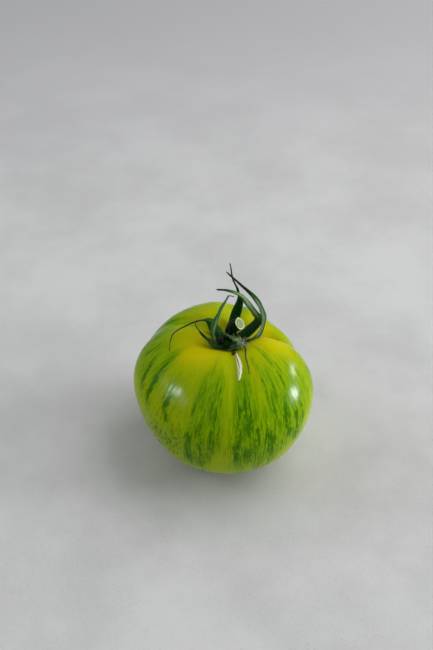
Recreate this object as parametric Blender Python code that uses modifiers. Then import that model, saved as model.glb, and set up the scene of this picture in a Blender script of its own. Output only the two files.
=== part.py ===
"""A lobed, striped tomato as picked: the fruit, the stub of its stem and the curled sepals of its calyx.

Run it with blender --background --python part.py, or from Blender's text editor.

Metres, +Z up. The fruit rests on the plane z = 0, with the middle of its bounding box over the origin.
Azimuths are in degrees: 0 points along -Y, which is the front, and 90 points along +X.
"""

from dataclasses import dataclass
from math import atan2, cos, exp, hypot, pi, radians, sin

import bmesh
import bpy
from mathutils import Quaternion, Vector
from mathutils.bvhtree import BVHTree

MM = 0.001

# Fruit
FRUIT_RADIUS = 34.2 * MM  # mean radius of the widest ring, before the lobes
SHOULDER_RISE = 24.3 * MM  # from the widest ring up to the crown, before the hollow
BELLY_DEPTH = 32.3 * MM  # from the widest ring down to the rest spot
SHOULDER_SQUARENESS = 2.0  # 2 is an ellipse; more is boxier
BELLY_SQUARENESS = 2.16
REST_SPOT_RADIUS = 8.0 * MM  # the flat that the fruit rests on
BLOSSOM_SCAR_RADIUS = 2.6 * MM  # the dimple in the middle of the rest spot
BLOSSOM_SCAR_DEPTH = 0.5 * MM

# Hollow that the stem grows from
HOLLOW_DEPTH = 10.4 * MM
HOLLOW_RADIUS = 8.6 * MM  # where the hollow is half as deep
HOLLOW_STEEPNESS = 2.7
HOLLOW_OFFSET = Vector((3.6 * MM, 5.6 * MM))  # of the hollow's middle from the belly's axis

# Lobes and the creases between them: (azimuth, share of the radius, half width in degrees)
LOBES = ((-55, -0.080, 45), (52, 0.048, 38), (130, -0.109, 28))
CREASES = ((5, 0.015, 11), (100, 0.090, 14), (172, 0.037, 14), (-115, 0.012, 13))
LOBE_LIFT = 28 * MM  # how much higher a lobe's shoulder stands, for a share of one
CREASE_DROP = 90 * MM  # how far a crease pulls the shoulder down, for a share of one
CREASE_REACH = 14 * MM  # distance from the axis at which it pulls hardest
CREASE_SPREAD = 9 * MM

# Calyx
CLEARANCE = 0.3 * MM  # between any two pieces
SKIN_CLEARANCE = 0.8 * MM  # from a sepal's middle layer to the skin below it
HUB_RADIUS = 4.0 * MM
HUB_HEIGHT = 2.0 * MM  # at its rim
HUB_SEAT = 0.5 * MM  # from the hollow's floor to its underside
STEM_RADIUS = 1.9 * MM
STEM_CUT_RADIUS = 2.4 * MM
STEM_RISE = 2.3 * MM  # straight up from the hub, before the bend
STEM_BEND = 1.4 * MM
STEM_REACH = 3.6 * MM  # from the bend to the cut
STEM_LEAN = Vector((0.66, -0.30, 0.69))  # the way the cut end faces
STEM_FOOT_FLARE = 0.25  # how much wider the foot is, as a share of its radius
STEM_RIM = 0.35  # width of the rim around the dished pith, as a share of the radius
STEM_CUT_DISH = 0.5 * MM  # how deep the pith has shrunk at the cut
SEPAL_ROOT_GAP = 0.7 * MM  # from the hub's rim to the middle layer of a sepal's root
SEPAL_ROOT_HEIGHT = 1.0 * MM
SEPAL_THICKNESS = 0.55 * MM
SEPAL_TIP_WIDTH = 0.7 * MM

FRUIT_SEGMENTS, FRUIT_RINGS = 72, 36
POLE_DENSITY = 0.6  # 0 spaces the rings evenly; towards 1 they crowd at both ends
SEPAL_STEPS, SEPAL_ACROSS = 18, 4


@dataclass(frozen=True)
class Sepal:
    """One leaf of the calyx.

    leaves: the azimuth in degrees at which it leaves the hub's rim.
    route: the rest of its midline, as (azimuth in degrees, distance from the hub's axis in mm, height
        over the hollow's floor in mm), on to the tip.
    width: its broadest width in metres, and base_width where it leaves the hub.
    broadest, tail: how far along it is broadest and how far along its thin tail starts, as shares of
        its length.
    channel: how far its edges stand over its midline, as a share of the half width.
    twist: how far it has turned about its midline at the tip, in degrees.
    """

    name: str
    leaves: float
    route: tuple
    width: float
    base_width: float = 2.6 * MM
    broadest: float = 0.3
    tail: float = 0.8
    channel: float = 0.5
    twist: float = 0.0
    colour: tuple = (0.045, 0.13, 0.03)


GREEN, PALE_GREEN, DRY = (0.03, 0.11, 0.025), (0.07, 0.19, 0.06), (0.16, 0.11, 0.06)

SEPALS = (
    Sepal("sepal_back", 178,
          ((175, 6.0, 3.4), (168, 8.7, 8.0), (162, 10.5, 12.7), (164, 10.4, 16.1), (170, 9.6, 20.3),
           (177, 8.5, 25.2), (185, 7.0, 32.1)),
          width=4.2 * MM, tail=0.62, twist=-20, colour=GREEN),
    Sepal("sepal_right_inner", 125,
          ((120, 7.4, 3.1), (117, 11.0, 6.6), (124, 10.7, 9.6), (133, 8.7, 13.9), (147, 6.5, 18.3),
           (194, 4.1, 21.6), (241, 6.2, 23.2)),
          width=4.2 * MM, tail=0.9, colour=GREEN),
    Sepal("sepal_right_outer", 76,
          ((72, 7.8, 3.6), (76, 9.6, 6.0), (84, 11.0, 8.2), (96, 11.9, 10.0), (112, 12.4, 11.7),
           (128, 12.7, 13.2), (147, 13.2, 15.1), (166, 13.7, 17.7), (187, 15.0, 22.0)),
          width=3.0 * MM, base_width=2.2 * MM, broadest=0.3, tail=0.9, colour=PALE_GREEN),
    Sepal("sepal_left_tall", -72,
          ((-76, 6.6, 4.5), (-63, 6.8, 10.1), (-52, 5.9, 15.6), (-47, 4.5, 19.6), (-43, 2.6, 22.6),
           (-29, 1.1, 23.6), (90, 1.2, 22.2)),
          width=3.4 * MM, broadest=0.25, tail=0.75, colour=PALE_GREEN),
    Sepal("sepal_left_thread", -118,
          ((-116, 6.6, 5.2), (-105, 8.8, 9.0), (-95, 11.6, 9.8), (-88, 16.0, 9.0), (-84, 20.2, 7.2),
           (-80, 22.6, 4.6), (-72, 23.3, 2.6)),
          width=4.6 * MM, broadest=0.2, tail=0.48, channel=0.6, twist=40, colour=DRY),
    Sepal("sepal_front_left", -28,
          ((-44, 7.2, 2.4), (-56, 9.2, 5.6), (-68, 10.8, 7.8), (-76, 12.0, 9.4), (-82, 12.8, 11.8)),
          width=2.8 * MM, tail=0.8, colour=GREEN),
    Sepal("sepal_front_dry", 6,
          ((12, 7.0, 4.2), (24, 9.0, 7.2), (27, 10.8, 7.4), (24, 13.2, 7.0), (20, 16.8, 6.6),
           (17, 22.8, 5.2)),
          width=3.4 * MM, broadest=0.22, tail=0.48, channel=0.7, colour=DRY),
    Sepal("sepal_crossing", 46,
          ((48, 6.0, 3.6), (36, 5.0, 5.6), (4, 3.9, 6.6), (-40, 3.5, 7.4), (-75, 4.4, 8.2)),
          width=2.0 * MM, base_width=1.9 * MM, channel=0.6, colour=GREEN),
)


def material(name, colour, roughness, metallic=0.0):
    """A plain Principled material."""
    made = bpy.data.materials.new(name)
    made.use_nodes = True
    shader = made.node_tree.nodes["Principled BSDF"]
    shader.inputs["Base Color"].default_value = (*colour, 1.0)
    shader.inputs["Roughness"].default_value = roughness
    shader.inputs["Metallic"].default_value = metallic
    return made


def add_object(name, mesh, collection, finish):
    """An object in the collection, shaded smooth, with its own material."""
    made = bpy.data.objects.new(name, mesh)
    made.data.materials.append(finish)
    made.data.shade_smooth()
    collection.objects.link(made)
    return made


def bump_sum(azimuth, bumps):
    """The bell-shaped bumps around the fruit, added up at one azimuth in radians."""
    total = 0.0
    for centre, share, half_width in bumps:
        turn = (azimuth - radians(centre) + pi) % (2 * pi) - pi
        total += share * exp(-((turn / radians(half_width)) ** 2))
    return total


def hollow_drop(distance):
    """How far the hollow lowers the crown at this distance from its axis."""
    return HOLLOW_DEPTH / (1 + (distance / HOLLOW_RADIUS) ** HOLLOW_STEEPNESS)


def fruit_point(azimuth, polar):
    """A point of the skin; polar runs from 0 at the crown to pi at the blossom end."""
    up, out = cos(polar), sin(polar)
    upper = min(max(up + 0.5, 0.0), 1.0)
    upper = upper * upper * (3 - 2 * upper)
    rest_share = (1 - (REST_SPOT_RADIUS / FRUIT_RADIUS) ** BELLY_SQUARENESS) ** (1 / BELLY_SQUARENESS)
    below = BELLY_DEPTH / rest_share
    height = below + (SHOULDER_RISE - below) * upper
    power = BELLY_SQUARENESS + (SHOULDER_SQUARENESS - BELLY_SQUARENESS) * upper
    reach = (abs(out) ** power + abs(up) ** power) ** (-1 / power)
    lobe, crease = bump_sum(azimuth, LOBES), bump_sum(azimuth, CREASES)
    distance = FRUIT_RADIUS * out * reach * (1 + lobe - crease * (0.25 + (1 + up) / 2))
    z = height * up * reach
    if up > 0:
        pull = exp(-(((distance - CREASE_REACH) / CREASE_SPREAD) ** 2))
        rim = 1 - exp(-((distance / HOLLOW_RADIUS) ** 2))
        z += (LOBE_LIFT * lobe - CREASE_DROP * crease * pull) * up * rim
        z -= hollow_drop(distance) * min(1.0, 3 * up)
    z = max(z + BELLY_DEPTH, 0.0)
    if up < 0 and distance < BLOSSOM_SCAR_RADIUS:
        z += BLOSSOM_SCAR_DEPTH * (1 - (distance / BLOSSOM_SCAR_RADIUS) ** 2) ** 2
    aside = HOLLOW_OFFSET * max(up, 0.0) ** 1.5
    return Vector((distance * sin(azimuth) + aside.x, -distance * cos(azimuth) + aside.y, z))


def make_fruit():
    """The fruit as a mesh centred over the origin, and the middle of its hollow's floor."""
    shape = bmesh.new()
    bmesh.ops.create_uvsphere(shape, u_segments=FRUIT_SEGMENTS, v_segments=FRUIT_RINGS, radius=1.0)
    for vertex in shape.verts:
        azimuth = atan2(vertex.co.x, -vertex.co.y)
        even = atan2(hypot(vertex.co.x, vertex.co.y), vertex.co.z) / pi
        polar = pi * (even - POLE_DENSITY * sin(2 * pi * even) / (2 * pi))
        vertex.co = fruit_point(azimuth, polar)
    xs = [vertex.co.x for vertex in shape.verts]
    ys = [vertex.co.y for vertex in shape.verts]
    middle = Vector(((min(xs) + max(xs)) / 2, (min(ys) + max(ys)) / 2, 0.0))
    bmesh.ops.translate(shape, verts=shape.verts, vec=-middle)
    bmesh.ops.recalc_face_normals(shape, faces=shape.faces)
    skin = BVHTree.FromBMesh(shape)
    mesh = bpy.data.meshes.new("fruit")
    shape.to_mesh(mesh)
    shape.free()
    return mesh, skin, fruit_point(0.0, 0.0) - middle


def skin_height(skin, x, y):
    """The height of the skin under a point, or 0 outside the fruit."""
    hit = skin.ray_cast(Vector((x, y, 1.0)), Vector((0.0, 0.0, -1.0)))[0]
    return hit.z if hit else 0.0


def turned(name, profile, location, collection, finish):
    """A turned solid about its own Z axis; the profile runs down its outer side, top to bottom."""
    mesh = bpy.data.meshes.new(name)
    edges = [(i, i + 1) for i in range(len(profile) - 1)]
    mesh.from_pydata([(radius, 0.0, z) for radius, z in profile], edges, [])
    made = add_object(name, mesh, collection, finish)
    made.location = location
    screw = made.modifiers.new("turn", "SCREW")
    screw.steps = screw.render_steps = 24
    screw.use_merge_vertices = True
    screw.merge_threshold = 0.00001
    screw.use_smooth_shade = True
    return made


def floor_rise(distance):
    """How much higher the hollow's floor is at this distance from its middle."""
    return hollow_drop(0.0) - hollow_drop(distance)


def make_hub(floor, collection):
    """The receptacle: a low domed disc whose underside follows the hollow's floor."""
    under = [(HUB_RADIUS * share, floor_rise(HUB_RADIUS * share) + HUB_SEAT)
             for share in (1.0, 0.75, 0.5, 0.25, 0.0)]
    rim = under[0][1]
    top = rim + HUB_HEIGHT
    over = [(0.0, top), (HUB_RADIUS * 0.55, top), (HUB_RADIUS * 0.85, top - HUB_HEIGHT * 0.2),
            (HUB_RADIUS, top - HUB_HEIGHT * 0.6)]
    turned("calyx_hub", over + under, floor, collection, material("calyx_hub", GREEN, 0.6))
    return top


def spline_point(points, share):
    """A point of the Catmull-Rom curve through the points, share running from 0 to 1."""
    place = min(max(share, 0.0), 1.0) * (len(points) - 1)
    index = min(int(place), len(points) - 2)
    t = place - index
    ends = [points[min(max(index + step, 0), len(points) - 1)] for step in (-1, 0, 1, 2)]
    before, start, end, after = ends
    return 0.5 * (2 * start + (end - before) * t + (2 * before - 5 * start + 4 * end - after) * t**2
                  + (3 * start - before - 3 * end + after) * t**3)


def make_stem(floor, hub_top, collection):
    """The stem stub: it rises from the hub, bends over and flares to a slightly dished cut."""
    foot = floor + Vector((0.0, 0.0, hub_top + CLEARANCE))
    lean = STEM_LEAN.normalized()
    up = Vector((0.0, 0.0, 1.0))
    bend = foot + up * (STEM_RISE + STEM_BEND) + lean * STEM_BEND
    route = [foot, foot + up * STEM_RISE, bend, bend + lean * STEM_REACH]
    shape = bmesh.new()
    bmesh.ops.create_cone(shape, cap_ends=True, segments=20, radius1=1.0, radius2=1.0, depth=1.0)
    sides = [edge for edge in shape.edges if abs(edge.verts[0].co.z - edge.verts[1].co.z) > 0.5]
    bmesh.ops.subdivide_edges(shape, edges=sides, cuts=8)
    cap = [face for face in shape.faces if face.normal.z > 0.9]
    bmesh.ops.inset_region(shape, faces=cap, thickness=STEM_RIM, depth=0.0)
    pith = {vertex for vertex in shape.verts if vertex.co.z > 0.49 and vertex.co.xy.length < 0.9}
    for vertex in shape.verts:
        share = vertex.co.z + 0.5
        centre = spline_point(route, share)
        ahead = spline_point(route, share + 0.02) - spline_point(route, share - 0.02)
        turn = up.rotation_difference(ahead)
        radius = STEM_RADIUS + (STEM_CUT_RADIUS - STEM_RADIUS) * share**2
        flare = 1 + STEM_FOOT_FLARE * (1 - share) ** 4
        dish = STEM_CUT_DISH if vertex in pith else 0.0
        around = Vector((vertex.co.x * radius * flare, vertex.co.y * radius * flare, -dish))
        vertex.co = centre + turn @ around
    mesh = bpy.data.meshes.new("stem")
    shape.to_mesh(mesh)
    shape.free()
    add_object("stem", mesh, collection, material("stem", PALE_GREEN, 0.55))


def blade_half_width(sepal, share):
    """Half the sepal's width: from its base out to its broadest, in to its tail, then a thin tip."""
    if share < sepal.broadest:
        swell = sin(pi / 2 * share / sepal.broadest)
        return (sepal.base_width + (sepal.width - sepal.base_width) * swell) / 2
    taper = max(0.0, (sepal.tail - share) / (sepal.tail - sepal.broadest))
    return (SEPAL_TIP_WIDTH + (sepal.width - SEPAL_TIP_WIDTH) * sin(pi / 2 * taper) ** 1.5) / 2


def around_hub(floor, azimuth, distance, height):
    """The point at this azimuth, distance from the hub's axis and height over the hollow's floor."""
    angle = radians(azimuth)
    return floor + Vector((distance * sin(angle), -distance * cos(angle), height))


def make_sepal(sepal, skin, floor, collection):
    """One sepal: a strip bent along its route, channelled and twisted, given its thickness."""
    route = [around_hub(floor, sepal.leaves, HUB_RADIUS + SEPAL_ROOT_GAP, SEPAL_ROOT_HEIGHT)]
    route += [around_hub(floor, azimuth, distance * MM, height * MM)
              for azimuth, distance, height in sepal.route]
    side = Vector((cos(radians(sepal.leaves)), sin(radians(sepal.leaves)), 0.0))
    frames = []
    for step in range(SEPAL_STEPS + 1):
        share = step / SEPAL_STEPS
        along = (spline_point(route, share + 0.01) - spline_point(route, share - 0.01)).normalized()
        side = (side - along * side.dot(along)).normalized()
        across = Quaternion(along, radians(sepal.twist) * share) @ side
        frames.append((spline_point(route, share), across, across.cross(along)))
    shape = bmesh.new()
    bmesh.ops.create_grid(shape, x_segments=SEPAL_ACROSS, y_segments=SEPAL_STEPS, size=0.5)
    for vertex in shape.verts:
        across_share = vertex.co.x * 2
        step = round((vertex.co.y + 0.5) * SEPAL_STEPS)
        centre, across, inward = frames[step]
        half = blade_half_width(sepal, step / SEPAL_STEPS)
        lift = sepal.channel * half * (across_share**2 - 0.3)
        place = centre + across * half * across_share + inward * lift
        place.z = max(place.z, skin_height(skin, place.x, place.y) + SKIN_CLEARANCE)
        vertex.co = place
    mesh = bpy.data.meshes.new(sepal.name)
    shape.to_mesh(mesh)
    shape.free()
    made = add_object(sepal.name, mesh, collection, material(sepal.name, sepal.colour, 0.6))
    shell = made.modifiers.new("thickness", "SOLIDIFY")
    shell.thickness = SEPAL_THICKNESS
    shell.offset = 0.0


def main():
    """Builds the tomato."""
    for old in list(bpy.data.objects):
        bpy.data.objects.remove(old, do_unlink=True)
    collection = bpy.data.collections.new("tomato")
    bpy.context.scene.collection.children.link(collection)
    fruit, skin, floor = make_fruit()
    add_object("fruit", fruit, collection, material("fruit", (0.42, 0.45, 0.02), 0.22))
    hub_top = make_hub(floor, collection)
    make_stem(floor, hub_top, collection)
    for sepal in SEPALS:
        make_sepal(sepal, skin, floor, collection)


main()
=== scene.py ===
"""The finished look of a lobed, striped tomato with its cut stem and curled sepals.

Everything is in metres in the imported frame: +Z up, -Y the front, the fruit resting on z = 0. Azimuths are
in degrees, 0 along -Y and 90 along +X. Polar angles run from 0 in the stem hollow to 180 at the blossom end.
"""

import logging
import math
from dataclasses import dataclass, field
from enum import Enum
from typing import Any, Iterable, Iterator, Sequence

import bpy
import numpy as np
from mathutils import Euler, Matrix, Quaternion, Vector
from mathutils import noise as soft_noise


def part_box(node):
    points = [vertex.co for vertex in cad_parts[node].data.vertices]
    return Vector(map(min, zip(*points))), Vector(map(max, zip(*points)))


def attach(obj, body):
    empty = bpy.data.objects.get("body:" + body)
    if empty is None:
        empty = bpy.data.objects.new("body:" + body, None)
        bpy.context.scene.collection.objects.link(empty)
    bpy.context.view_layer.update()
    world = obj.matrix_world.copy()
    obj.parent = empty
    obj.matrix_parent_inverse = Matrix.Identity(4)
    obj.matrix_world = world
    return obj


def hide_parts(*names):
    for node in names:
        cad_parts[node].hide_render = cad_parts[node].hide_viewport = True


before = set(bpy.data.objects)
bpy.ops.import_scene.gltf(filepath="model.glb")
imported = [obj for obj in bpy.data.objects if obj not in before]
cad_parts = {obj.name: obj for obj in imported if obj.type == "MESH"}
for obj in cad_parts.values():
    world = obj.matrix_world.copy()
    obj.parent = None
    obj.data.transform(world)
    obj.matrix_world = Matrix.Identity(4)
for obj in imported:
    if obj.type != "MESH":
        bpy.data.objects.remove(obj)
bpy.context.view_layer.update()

MM = 0.001
BODY = "root"
STEM_GAP = 0.3 * MM  # between the hub and the stem, as in the frame
HUB_GRAIN = 900  # how fine the hub's roughness is, per metre
NOISE_SEED = 11  # unless it is set, noise_vector shifts its noise by the time of day
LOG = logging.getLogger("tomato")
NOISE_MIDDLE = 0.5  # the value that a noise texture varies around

Colour = tuple[float, float, float]
Patch = tuple[float, float, float, float]
Hair = tuple[Vector, Vector, float]  # its root, the way it stands and its length


def srgb(red: int, green: int, blue: int) -> Colour:
    """Turns an 8-bit display colour into a scene-linear one.

    Args:
        red, green, blue: from 0 to 255.

    Returns:
        The linear colour.
    """
    parts = [part / 255 for part in (red, green, blue)]
    linear = [part / 12.92 if part <= 0.04045 else ((part + 0.055) / 1.055) ** 2.4 for part in parts]
    return linear[0], linear[1], linear[2]


# ---------------------------------------------------------------- shader maths


class Wire:
    """A node's output on which shader maths is written as ordinary expressions."""

    def __init__(self, nodes: "Nodes", socket: bpy.types.NodeSocket) -> None:
        """Keeps the socket and the tree that it belongs to."""
        self.nodes = nodes
        self.socket = socket

    def _math(self, operation: str, *values: "Wire | float") -> "Wire":
        """Adds a Math node.

        Args:
            operation: the Math node's operation.
            values: its inputs, in order.

        Returns:
            The node's output.
        """
        made = self.nodes.add("ShaderNodeMath", {"operation": operation}, dict(enumerate(values)))
        return Wire(self.nodes, made.outputs[0])

    def __add__(self, other: "Wire | float") -> "Wire":
        """Returns self + other."""
        return self._math("ADD", self, other)

    def __sub__(self, other: "Wire | float") -> "Wire":
        """Returns self - other."""
        return self._math("SUBTRACT", self, other)

    def __rsub__(self, other: float) -> "Wire":
        """Returns other - self."""
        return self._math("SUBTRACT", other, self)

    def __mul__(self, other: "Wire | float") -> "Wire":
        """Returns self * other."""
        return self._math("MULTIPLY", self, other)

    __radd__ = __add__
    __rmul__ = __mul__

    def __abs__(self) -> "Wire":
        """Returns the absolute value."""
        return self._math("ABSOLUTE", self)

    def step(self, low: float, high: float) -> "Wire":
        """Fades smoothly from 0 at low to 1 at high.

        Args:
            low: where it is 0; it may be above high, for a fade the other way.
            high: where it is 1.

        Returns:
            The faded value, from 0 to 1.
        """
        if low > high:
            return 1 - self.step(high, low)
        settings = {"interpolation_type": "SMOOTHSTEP"}
        made = self.nodes.add("ShaderNodeMapRange", settings, {0: self, 1: low, 2: high})
        return Wire(self.nodes, made.outputs[0])

    def swing(self, size: float = 1.0) -> "Wire":
        """Returns a noise as a swing to both sides of 0."""
        return (self - NOISE_MIDDLE) * size


@dataclass(frozen=True)
class Grain:
    """A fractal noise.

    scale: how fine it is, the same each way or along each axis by itself.
    detail: its number of octaves.
    roughness: how strong the finer octaves are.
    warp: how far it is distorted.
    """

    scale: float | Colour
    detail: float = 2.0
    roughness: float = 0.5
    warp: float = 0.0


class Nodes:
    """The node tree of one new Principled material."""

    def __init__(self, name: str) -> None:
        """Starts a material with a Principled shader and nothing feeding it.

        Args:
            name: the material's name.
        """
        self.material = bpy.data.materials.new(name)
        self.material.use_nodes = True
        self.tree = self.material.node_tree
        self.shader = self.tree.nodes["Principled BSDF"]

    def add(self, kind: str, settings: dict[str, Any] | None = None,
            inputs: dict[Any, Any] | None = None) -> bpy.types.Node:
        """Adds one node.

        Args:
            kind: the node's type.
            settings: its own properties, set before its sockets.
            inputs: values or wires for its input sockets, by name or number.

        Returns:
            The node.
        """
        made = self.tree.nodes.new(kind)
        for key, value in (settings or {}).items():
            setattr(made, key, value)
        for key, value in (inputs or {}).items():
            self.feed(made.inputs[key], value)
        return made

    def feed(self, socket: bpy.types.NodeSocket, value: Any) -> None:
        """Links a wire to a socket, or sets the socket's own value.

        Args:
            socket: the input socket.
            value: a wire, a number, a vector or a colour.
        """
        if isinstance(value, Wire):
            self.tree.links.new(value.socket, socket)
        elif isinstance(value, tuple) and socket.type == "RGBA":
            socket.default_value = (*value, 1.0)
        else:
            socket.default_value = value

    def attribute(self, name: str) -> Wire:
        """Returns a number stored on the mesh under this name."""
        made = self.add("ShaderNodeAttribute", {"attribute_name": name})
        return Wire(self, made.outputs["Fac"])

    def vector_attribute(self, name: str) -> Wire:
        """Returns a vector stored on the mesh under this name."""
        made = self.add("ShaderNodeAttribute", {"attribute_name": name})
        return Wire(self, made.outputs["Vector"])

    def place(self) -> Wire:
        """Returns the point's place in the object's own coordinates."""
        return Wire(self, self.add("ShaderNodeTexCoord").outputs["Object"])

    def noise(self, vector: Wire, grain: Grain) -> Wire:
        """Adds fractal noise.

        Args:
            vector: where it is read.
            grain: its fineness and its strength.

        Returns:
            The noise, mostly between 0.3 and 0.7.
        """
        scale = grain.scale
        if isinstance(scale, tuple):
            made = self.add("ShaderNodeVectorMath", {"operation": "MULTIPLY"}, {0: vector, 1: scale})
            vector, scale = Wire(self, made.outputs[0]), 1.0
        made = self.add("ShaderNodeTexNoise", {"noise_dimensions": "3D"}, {
            "Vector": vector, "Scale": scale, "Detail": grain.detail, "Roughness": grain.roughness,
            "Distortion": grain.warp})
        return Wire(self, made.outputs[0])

    def mix(self, first: "Wire | Colour", second: "Wire | Colour", factor: "Wire | float") -> Wire:
        """Mixes two colours.

        Args:
            first: the colour at factor 0.
            second: the colour at factor 1.
            factor: how much of the second there is.

        Returns:
            The mixed colour.
        """
        made = self.add("ShaderNodeMix", {"data_type": "RGBA"}, {0: factor, 6: first, 7: second})
        return Wire(self, made.outputs[2])

    def finish(self, colour: Wire, roughness: "Wire | float", height: Wire | None = None,
               relief: float = 0.0, constants: dict[str, Any] | None = None) -> bpy.types.Material:
        """Feeds the shader.

        Args:
            colour: the base colour.
            roughness: how matt the surface is.
            height: the small relief, from 0 to 1.
            relief: how high that relief is, in metres.
            constants: the shader's other sockets, each the same all over the surface.

        Returns:
            The material.
        """
        self.feed(self.shader.inputs["Base Color"], colour)
        self.feed(self.shader.inputs["Roughness"], roughness)
        if height is not None:
            bump = self.add("ShaderNodeBump", None, {"Height": height, "Distance": relief})
            self.feed(self.shader.inputs["Normal"], Wire(self, bump.outputs[0]))
        for key, value in (constants or {}).items():
            self.feed(self.shader.inputs[key], value)
        return self.material


# ---------------------------------------------------------------- finishes


@dataclass(frozen=True)
class SkinFinish:
    """The glossy skin: yellow at the shoulders, greener below, with broken dark green stripes.

    A grain with three scales is read along "grain", round the fruit twice and then down it, so it runs with
    the stripes. The others are read in space.
    """

    shoulder: Colour = srgb(192, 184, 0)
    cheek: Colour = srgb(146, 168, 0)
    # Brighter below, partly as the skin's own yellow-green and partly as painted bounce light.
    belly: Colour = srgb(162, 184, 0)
    halo: Colour = srgb(112, 160, 0)
    stripe: Colour = srgb(72, 122, 0)
    stripe_dark: Colour = srgb(54, 106, 0)
    cork: Colour = srgb(238, 236, 204)
    cork_line: Colour = srgb(120, 132, 60)
    cork_edge: Colour = srgb(72, 50, 14)
    blemish: Colour = srgb(120, 92, 20)
    # Painted shade: the dark colour laid on the hollow's floor round the calyx.
    deep: Colour = srgb(22, 34, 0)
    fibres: Grain = Grain((30.0, 30.0, 4.2), 5.0, 0.62, 0.3)
    threads: Grain = Grain((66.0, 66.0, 5.0), 3.0, 0.6)
    flecks: Grain = Grain((40.0, 40.0, 17.0), 3.0, 0.55)
    teeth: Grain = Grain((84.0, 84.0, 30.0))
    specks: Grain = Grain((40.0, 40.0, 16.0), 2.0, 0.4)
    waves: Grain = Grain((18.0, 18.0, 7.0), 1.0, 0.4)
    clouds: Grain = Grain(70.0, 3.0)
    curls: Grain = Grain(520.0, warp=1.5)
    pores: Grain = Grain(1500.0)
    gloss: float = 0.19
    relief: float = 0.16 * MM
    refraction: float = 1.13
    flesh_depth: float = 2.0 * MM

    def material(self) -> bpy.types.Material:
        """Builds the skin.

        Returns:
            The material, which reads the numbers that Fruit stores on its mesh.
        """
        n = Nodes("tomato_skin")
        grain, place = n.vector_attribute("grain"), n.place()
        fibres, threads = n.noise(grain, self.fibres), n.noise(grain, self.threads)
        clouds, pores = n.noise(place, self.clouds), n.noise(place, self.pores)
        scar, scab = n.attribute("scar") + threads.swing(0.6) + fibres.swing(0.3), n.attribute("scab")
        cork = scar.step(0.35, 0.6)
        colour = self._stripes(n, self._ground(n, clouds), fibres, threads)
        colour = self._specks(n, colour)
        streaked = n.mix(self.cork, self.cork_line, (n.attribute("groove") + threads.swing()).step(0.3, 0.7))
        colour = n.mix(colour, self.cork_edge, scar.step(0.12, 0.4) * 0.3)
        colour = n.mix(colour, streaked, cork)
        # Painted shade round the foot of the calyx, darkest at the front.
        colour = n.mix(colour, self.deep, n.attribute("painted_hollow_shade") * 0.85)
        colour = n.mix(colour, self.cork_edge, scab.step(0.3, 0.7))
        roughness = self.gloss + clouds.swing(0.08) + pores.swing(0.06) + cork * 0.4 + scab * 0.3
        height = n.noise(grain, self.waves) * 0.3 + pores * 0.05 + cork * threads * 0.8
        return n.finish(colour, roughness, height, self.relief, {
            "IOR": self.refraction, "Subsurface Weight": 0.12, "Subsurface Scale": self.flesh_depth,
            "Subsurface Radius": (1.0, 0.8, 0.05)})

    def _ground(self, n: Nodes, clouds: Wire) -> Wire:
        """The colour under the stripes.

        Args:
            n: the skin's nodes.
            clouds: the soft noise that makes the borders between its colours uneven.

        Returns:
            The colour: yellow round the hollow, then green, then a brighter green underneath.
        """
        ripe = n.attribute("shoulder") + clouds.swing(0.6)
        under = n.attribute("belly") + clouds.swing(0.5)
        colour = n.mix(self.cheek, self.shoulder, ripe.step(0.05, 1.0))
        return n.mix(colour, self.belly, under.step(0.15, 1.0))

    def _stripes(self, n: Nodes, colour: Wire, fibres: Wire, threads: Wire) -> Wire:
        """Lays on the stripes, from the soft green around them to their dark middles.

        Args:
            n: the skin's nodes.
            colour: the colour under them.
            fibres: the long grain that breaks them up.
            threads: the finer grain of the thin lines beside them.

        Returns:
            The colour with the stripes.
        """
        grain, zone = n.vector_attribute("grain"), n.attribute("zone")
        flecks, teeth = n.noise(grain, self.flecks), n.noise(grain, self.teeth)
        amount = n.attribute("stripe") * 0.9
        ragged = fibres.swing(1.8) + threads.swing(0.8) + flecks.swing(1.4) + teeth.swing(0.4)
        lines = (threads.swing() + zone * 0.06).step(0.035, 0.1)
        dark = n.mix(self.stripe, self.stripe_dark, (amount + ragged * 0.7).step(0.66, 1.05))
        colour = n.mix(colour, self.halo, (zone * 1.1 + fibres.swing(1.4)).step(0.15, 1.0) * 0.75)
        colour = n.mix(colour, self.stripe, lines * zone * 0.92)
        colour = n.mix(colour, self.stripe, (amount + ragged).step(0.45, 0.56) * 0.36)
        return n.mix(colour, dark, (amount + ragged).step(0.66, 0.71) * 0.92)

    def _specks(self, n: Nodes, colour: Wire) -> Wire:
        """Lays on the small dark spots of the front's lower left and the thin brown curls above them.

        Args:
            n: the skin's nodes.
            colour: the colour under them.

        Returns:
            The colour with the spots and the curls.
        """
        speckle = n.attribute("speckle")
        spots = (n.noise(n.vector_attribute("grain"), self.specks) + speckle * 0.19).step(0.71, 0.75)
        curls = abs(n.noise(n.place(), self.curls).swing()).step(0.035, 0.0) * n.attribute("blemish")
        # Darkens the whole patch on the front's lower left a little, not only its spots.
        colour = n.mix(colour, self.stripe, speckle * 0.32)
        colour = n.mix(colour, self.stripe_dark, spots * 0.75)
        return n.mix(colour, self.blemish, curls * 0.8)


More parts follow.
